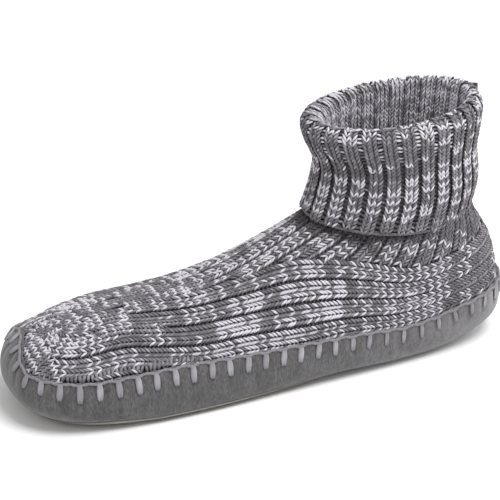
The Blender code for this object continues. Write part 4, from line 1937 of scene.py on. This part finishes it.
    def thread(self, wool: Material) -> None:
        """Blanket stitches down the suede and the cord along its edge."""
        edge = self._loop(self.edge)
        out = self._outward(edge)
        lines = self._square_lines(edge, out)
        top, half, low = lines[:, 0], lines[:, self.stitch_steps // 2], lines[:, self.stitch_steps]
        draw = np.random.default_rng(self.seed)
        count = len(lines)
        up = unit(top - low)
        bulge = half - 0.5 * (top + low)
        pick = self._stitch_samples()
        outward = unit(np.cross(np.cross(up, out[pick] + bulge), up))
        side = np.cross(up, outward)
        to_heel = smooth(*self.heel_reach, top[:, 0])
        to_tip = smooth(*self.tip_reach, top[:, 0])
        length = self.side_length + (self.heel_length - self.side_length) * to_heel
        length = length + (self.tip_length - self.side_length) * to_tip
        length = length * (1.0 + self.stitch_spread * (draw.random(count) - 0.5))
        wide = 1.0 - self.heel_slim * smooth(*self.slim_reach, top[:, 0])
        tone = self.stitch_shade + self.shade_spread * (draw.random(count) - 0.5)
        tilt = self.stitch_tilt * (draw.random(count) - 0.5)
        legs = Yarn()
        way = unit(up + side * tilt[:, None])
        short = 0.5 * self.stitch_length * (1.0 - length) + self.stitch_raise
        middle = half + outward * self.strand_lift + up * short[:, None]
        size = np.stack([wide, length, wide], axis=1)
        for hand in (-1.0, 1.0):
            place = middle + side * (hand * self.strand_gap * wide)[:, None]
            shade = tone + self.strand_spread * (draw.random(count) - 0.5)
            legs.add(place, way, outward, size, shade)
        self.layer.lay("blanket_stitches", legs, self.strand, wool)
        install(self._cord(wool, edge, out), Slot.KNIT)

    def _cord(self, wool: Material, top: Array, out: Array) -> Object:
        """The strand that runs along the edge from stitch to stitch.

        Args:
            wool: its material.
            top: the suede's edge at every sample.
            out: level outward directions there.

        Returns:
            A closed, twisted loop of cord.
        """
        station = self.stitch_stations()
        whole = self.along[-1]
        marks = np.concatenate([[station[-1] - whole], station, [station[0] + whole]])
        phase = 2.0 * math.pi * np.interp(self.at, marks, np.arange(-1, len(station) + 1))
        line = top + out * (self.cord_out + self.cord_sway * np.cos(phase))[:, None]
        line[:, 2] += self.cord_up + self.cord_dip * np.cos(phase + math.pi)
        ahead = unit(np.roll(line, -1, axis=0) - np.roll(line, 1, axis=0))
        side = unit(np.cross(np.array([0.0, 0.0, 1.0]), ahead))
        up = np.cross(ahead, side)
        twist = self.at / self.along[-1] * 2.0 * math.pi * self.cord_twists
        turn = np.linspace(0.0, 2.0 * math.pi, self.cord_sides, endpoint=False)
        lobes = self.cord_radius + self.cord_lobe * np.cos(2.0 * turn[None, :] + twist[:, None])
        rings = line[:, None] + up[:, None] * (lobes * np.cos(turn))[..., None]
        rings = rings + side[:, None] * (lobes * np.sin(turn))[..., None]
        rings = np.vstack([rings, rings[:1]])
        points = self.last.swayed(rings.reshape(-1, 3))
        made = mesh_piece("edge_cord", points, ring_faces(len(rings), self.cord_sides), wool)
        shade = made.data.attributes.new("shade", "FLOAT", "POINT")
        shade.data.foreach_set("value", np.full(len(made.data.vertices), self.cord_shade, np.float32))
        return made

    def tread_edge(self, finish: Material) -> Object:
        """The raw edge of the tread, a low strip that shows below the suede of the forefoot."""
        centre, out = self.around.stations()
        keep = np.flatnonzero(centre[:, 0] < self.tread_end_x)
        order = np.concatenate([keep[keep >= self.around.near], keep[keep < self.around.near]])
        lift = 1.0 + self.tread_toe_gain * smooth(*self.tread_toe_reach, centre[:, 0])
        lines = [self.around.level(self.outer_tree, z * lift)[order] for z in self.tread_heights]
        along = walked(lines[-1])
        fade = smooth(0.0, self.tread_fade, np.minimum(along, along[-1] - along))
        proud = out[order] * (self.tread_proud * (2.0 * fade - 1.0))[:, None]
        outer = [line + proud for line in lines]
        inner = [line - out[order] * self.tread_buried for line in lines[::-1]]
        rings = np.stack(outer + inner, axis=1)
        count, around, _ = rings.shape
        faces = ring_faces(count, around)
        faces.append(tuple(range(around)))
        faces.append(tuple(range((count - 1) * around, count * around)))
        return mesh_piece("tread_edge", self.last.swayed(rings.reshape(-1, 3)), faces, finish)


@dataclass
class Insole:
    """The felt pad that lies in the cup."""

    last: Last
    around: Around
    inset: float = 0.8
    outline_rise: float = 0.4
    rim_low: Table = ((1.0, 0.0), (0.25, 0.4), (0.0, 1.4))
    rim_high: Table = ((0.3, -0.5), (1.0, 0.0))
    top_rings: tuple[float, ...] = (0.3, 0.65, 1.0)
    tree_places: int = 200
    tree_turns: int = 201
    fill: float = 0.3

    def build(self, finish: Material) -> None:
        """Make the pad as a closed form with a soft edge."""
        last = self.last
        skin = Skin(last.rows(-self.inset), last.mid_length_x)
        low = last.sole_floor + last.clearance
        high = low + last.insole_thick
        tree = skin.tree(self.tree_places, self.tree_turns)
        centre, _ = self.around.stations()
        outline = self.around.level(tree, np.full(len(centre), low + self.outline_rise))
        inward = unit((centre - outline) * np.array([1.0, 1.0, 0.0]))
        rings = [centre + np.array([0.0, 0.0, low])]
        for rim, base in ((self.rim_low, low), (self.rim_high, high)):
            for step, rise in rim:
                ring = outline + inward * step
                ring[:, 2] = base + rise
                rings.append(ring)
        edge = rings[-1]
        for share in self.top_rings:
            rings.append(edge * (1.0 - share) + (centre + np.array([0.0, 0.0, high])) * share)
        points = last.swayed(np.vstack(rings))
        piece = mesh_piece("felt_insole", points, ring_faces(len(rings), len(outline)), finish)
        install(piece, Slot.FELT, "insole")


@dataclass
class BackTab:
    """The small plain tab that stands up behind the fold of the cuff."""

    last: Last
    width: float = 7.0
    centre_y: float = 5.5
    thick: float = 1.6
    top_z: float = 124.7
    slant: float = 0.35
    edge_thick: float = 0.35
    edge_power: int = 6
    columns: int = 13
    lines: int = 22

    def build(self, finish: Material) -> None:
        """Make the tab as a closed strip with rounded long edges."""
        last = self.last
        rows = last.grown(np.array(last.cuff[3:5]), last.clearance)
        top = rows[-1].copy()
        top[3] = self.top_z
        skin = Skin(np.vstack([rows, top]), last.mid_length_x)
        place = np.linspace(0.0, 2.0, self.lines)
        across = self.centre_y + self.width * np.linspace(-0.5, 0.5, self.columns)
        half = skin.row_at(place)[:, 4]
        turn = math.pi + np.arcsin(across[None, :] / half[:, None])
        inner = skin.at(place[:, None], turn)
        standing = np.clip(place - 1.0, 0.0, 1.0)[:, None]
        inner[..., 2] += self.slant * standing * (self.centre_y - across)[None, :]
        ahead, round_ = skin.slopes(np.broadcast_to(place[:, None], turn.shape), turn)
        normal = unit(np.cross(round_, ahead))
        normal = np.where(normal[..., :1] < 0.0, -normal, normal)
        swell = np.clip(1.0 - np.linspace(-1.0, 1.0, self.columns) ** self.edge_power, 0.0, 1.0)
        thick = self.thick * (self.edge_thick + (1.0 - self.edge_thick) * np.sqrt(swell))
        outer = inner + normal * thick[None, :, None]
        loop = np.concatenate([inner, outer[:, ::-1]], axis=1)
        around = loop.shape[1]
        faces = ring_faces(self.lines, around)
        faces.append(tuple(range(around)))
        faces.append(tuple(range((self.lines - 1) * around, self.lines * around))[::-1])
        piece = mesh_piece("ribbon_tab", loop.reshape(-1, 3), faces, finish)
        install(piece, Slot.RIBBON, "back_tab")


class Lamp(NamedTuple):
    """A round, soft lamp that looks at the sock: its place in metres, size and power."""

    name: str
    place: Triple
    size: float
    power: float


@dataclass(frozen=True)
class Studio:
    """Pale floor, soft light and the camera at the photograph's angle."""

    azimuth: float = -22.5
    elevation: float = 26.5
    distance: float = 1.5
    target: Triple = (-0.00107, 0.0, 0.057)
    lens: float = 226.5
    shift: Span = (-0.0044, 0.01)
    clip: Span = (0.05, 20.0)
    floor_half: float = 3.0
    sky_strength: float = 0.72
    lamps: tuple[Lamp, ...] = (
        Lamp("key", (0.35, -0.75, 1.9), 1.0, 30.0),
        Lamp("side", (1.5, -0.2, 0.9), 1.0, 9.0),
    )

    def back(self) -> Vector:
        """Direction from the target to the camera."""
        a = math.radians(self.azimuth)
        e = math.radians(self.elevation)
        return Vector((math.sin(a) * math.cos(e), -math.cos(a) * math.cos(e), math.sin(e)))

    def camera(self) -> None:
        """Place the camera."""
        data = bpy.data.cameras.new("camera")
        data.lens = self.lens
        data.shift_x, data.shift_y = self.shift
        data.clip_start, data.clip_end = self.clip
        made = bpy.data.objects.new("camera", data)
        made.location = Vector(self.target) + self.back() * self.distance
        made.rotation_euler = (-self.back()).to_track_quat("-Z", "Y").to_euler()
        bpy.context.scene.collection.objects.link(made)
        bpy.context.scene.camera = made

    def light(self, lamp: Lamp) -> None:
        """Hang up a lamp."""
        data = bpy.data.lights.new(lamp.name, "AREA")
        data.shape = "DISK"
        data.size = lamp.size
        data.energy = lamp.power
        made = bpy.data.objects.new(lamp.name, data)
        made.location = lamp.place
        look = Vector(self.target) - Vector(lamp.place)
        made.rotation_euler = look.to_track_quat("-Z", "Y").to_euler()
        bpy.context.scene.collection.objects.link(made)

    def build(self, floor: Material) -> None:
        """Make floor, light and camera."""
        half = self.floor_half / MM
        signs = ((-1.0, -1.0), (1.0, -1.0), (1.0, 1.0), (-1.0, 1.0))
        corners = np.array([(x * half, y * half, 0.0) for x, y in signs])
        mesh_piece("floor", corners, [(0, 1, 2, 3)], floor, closed=False)
        world = bpy.data.worlds.new("studio")
        world.use_nodes = True
        sky = world.node_tree.nodes["Background"]
        sky.inputs["Color"].default_value = (1.0, 1.0, 1.0, 1.0)
        sky.inputs["Strength"].default_value = self.sky_strength
        bpy.context.scene.view_settings.view_transform = "Standard"
        bpy.context.scene.world = world
        for lamp in self.lamps:
            self.light(lamp)
        self.camera()


def main() -> None:
    """Build the studio and every piece of the sock."""
    logging.basicConfig(level=logging.INFO)
    last = Last()
    around = Around(last)
    layer = YarnLayer(last)
    wool = MarledWool("marled_wool").material()
    thread = MarledWool("seam_wool", mottle=0.1, ply_contrast=0.35, ply_level=1.0).material()
    Studio().build(PaleFloor("pale_floor").material())
    Upper(last, around, layer).build(wool, PaintedShadeBackKnit("back_of_knit_painted_shade").material())
    cup = SuedeCup(last, around, layer)
    install(cup.shell(Suede("grey_suede").material()), Slot.SUEDE, "suede_sole")
    install(cup.tread_edge(RawEdge("raw_edge").material()), Slot.SUEDE)
    cup.thread(thread)
    Insole(last, around).build(Felt("grey_felt").material())
    BackTab(last).build(Ribbon("grey_ribbon").material())


if __name__ == "__main__":
    main()
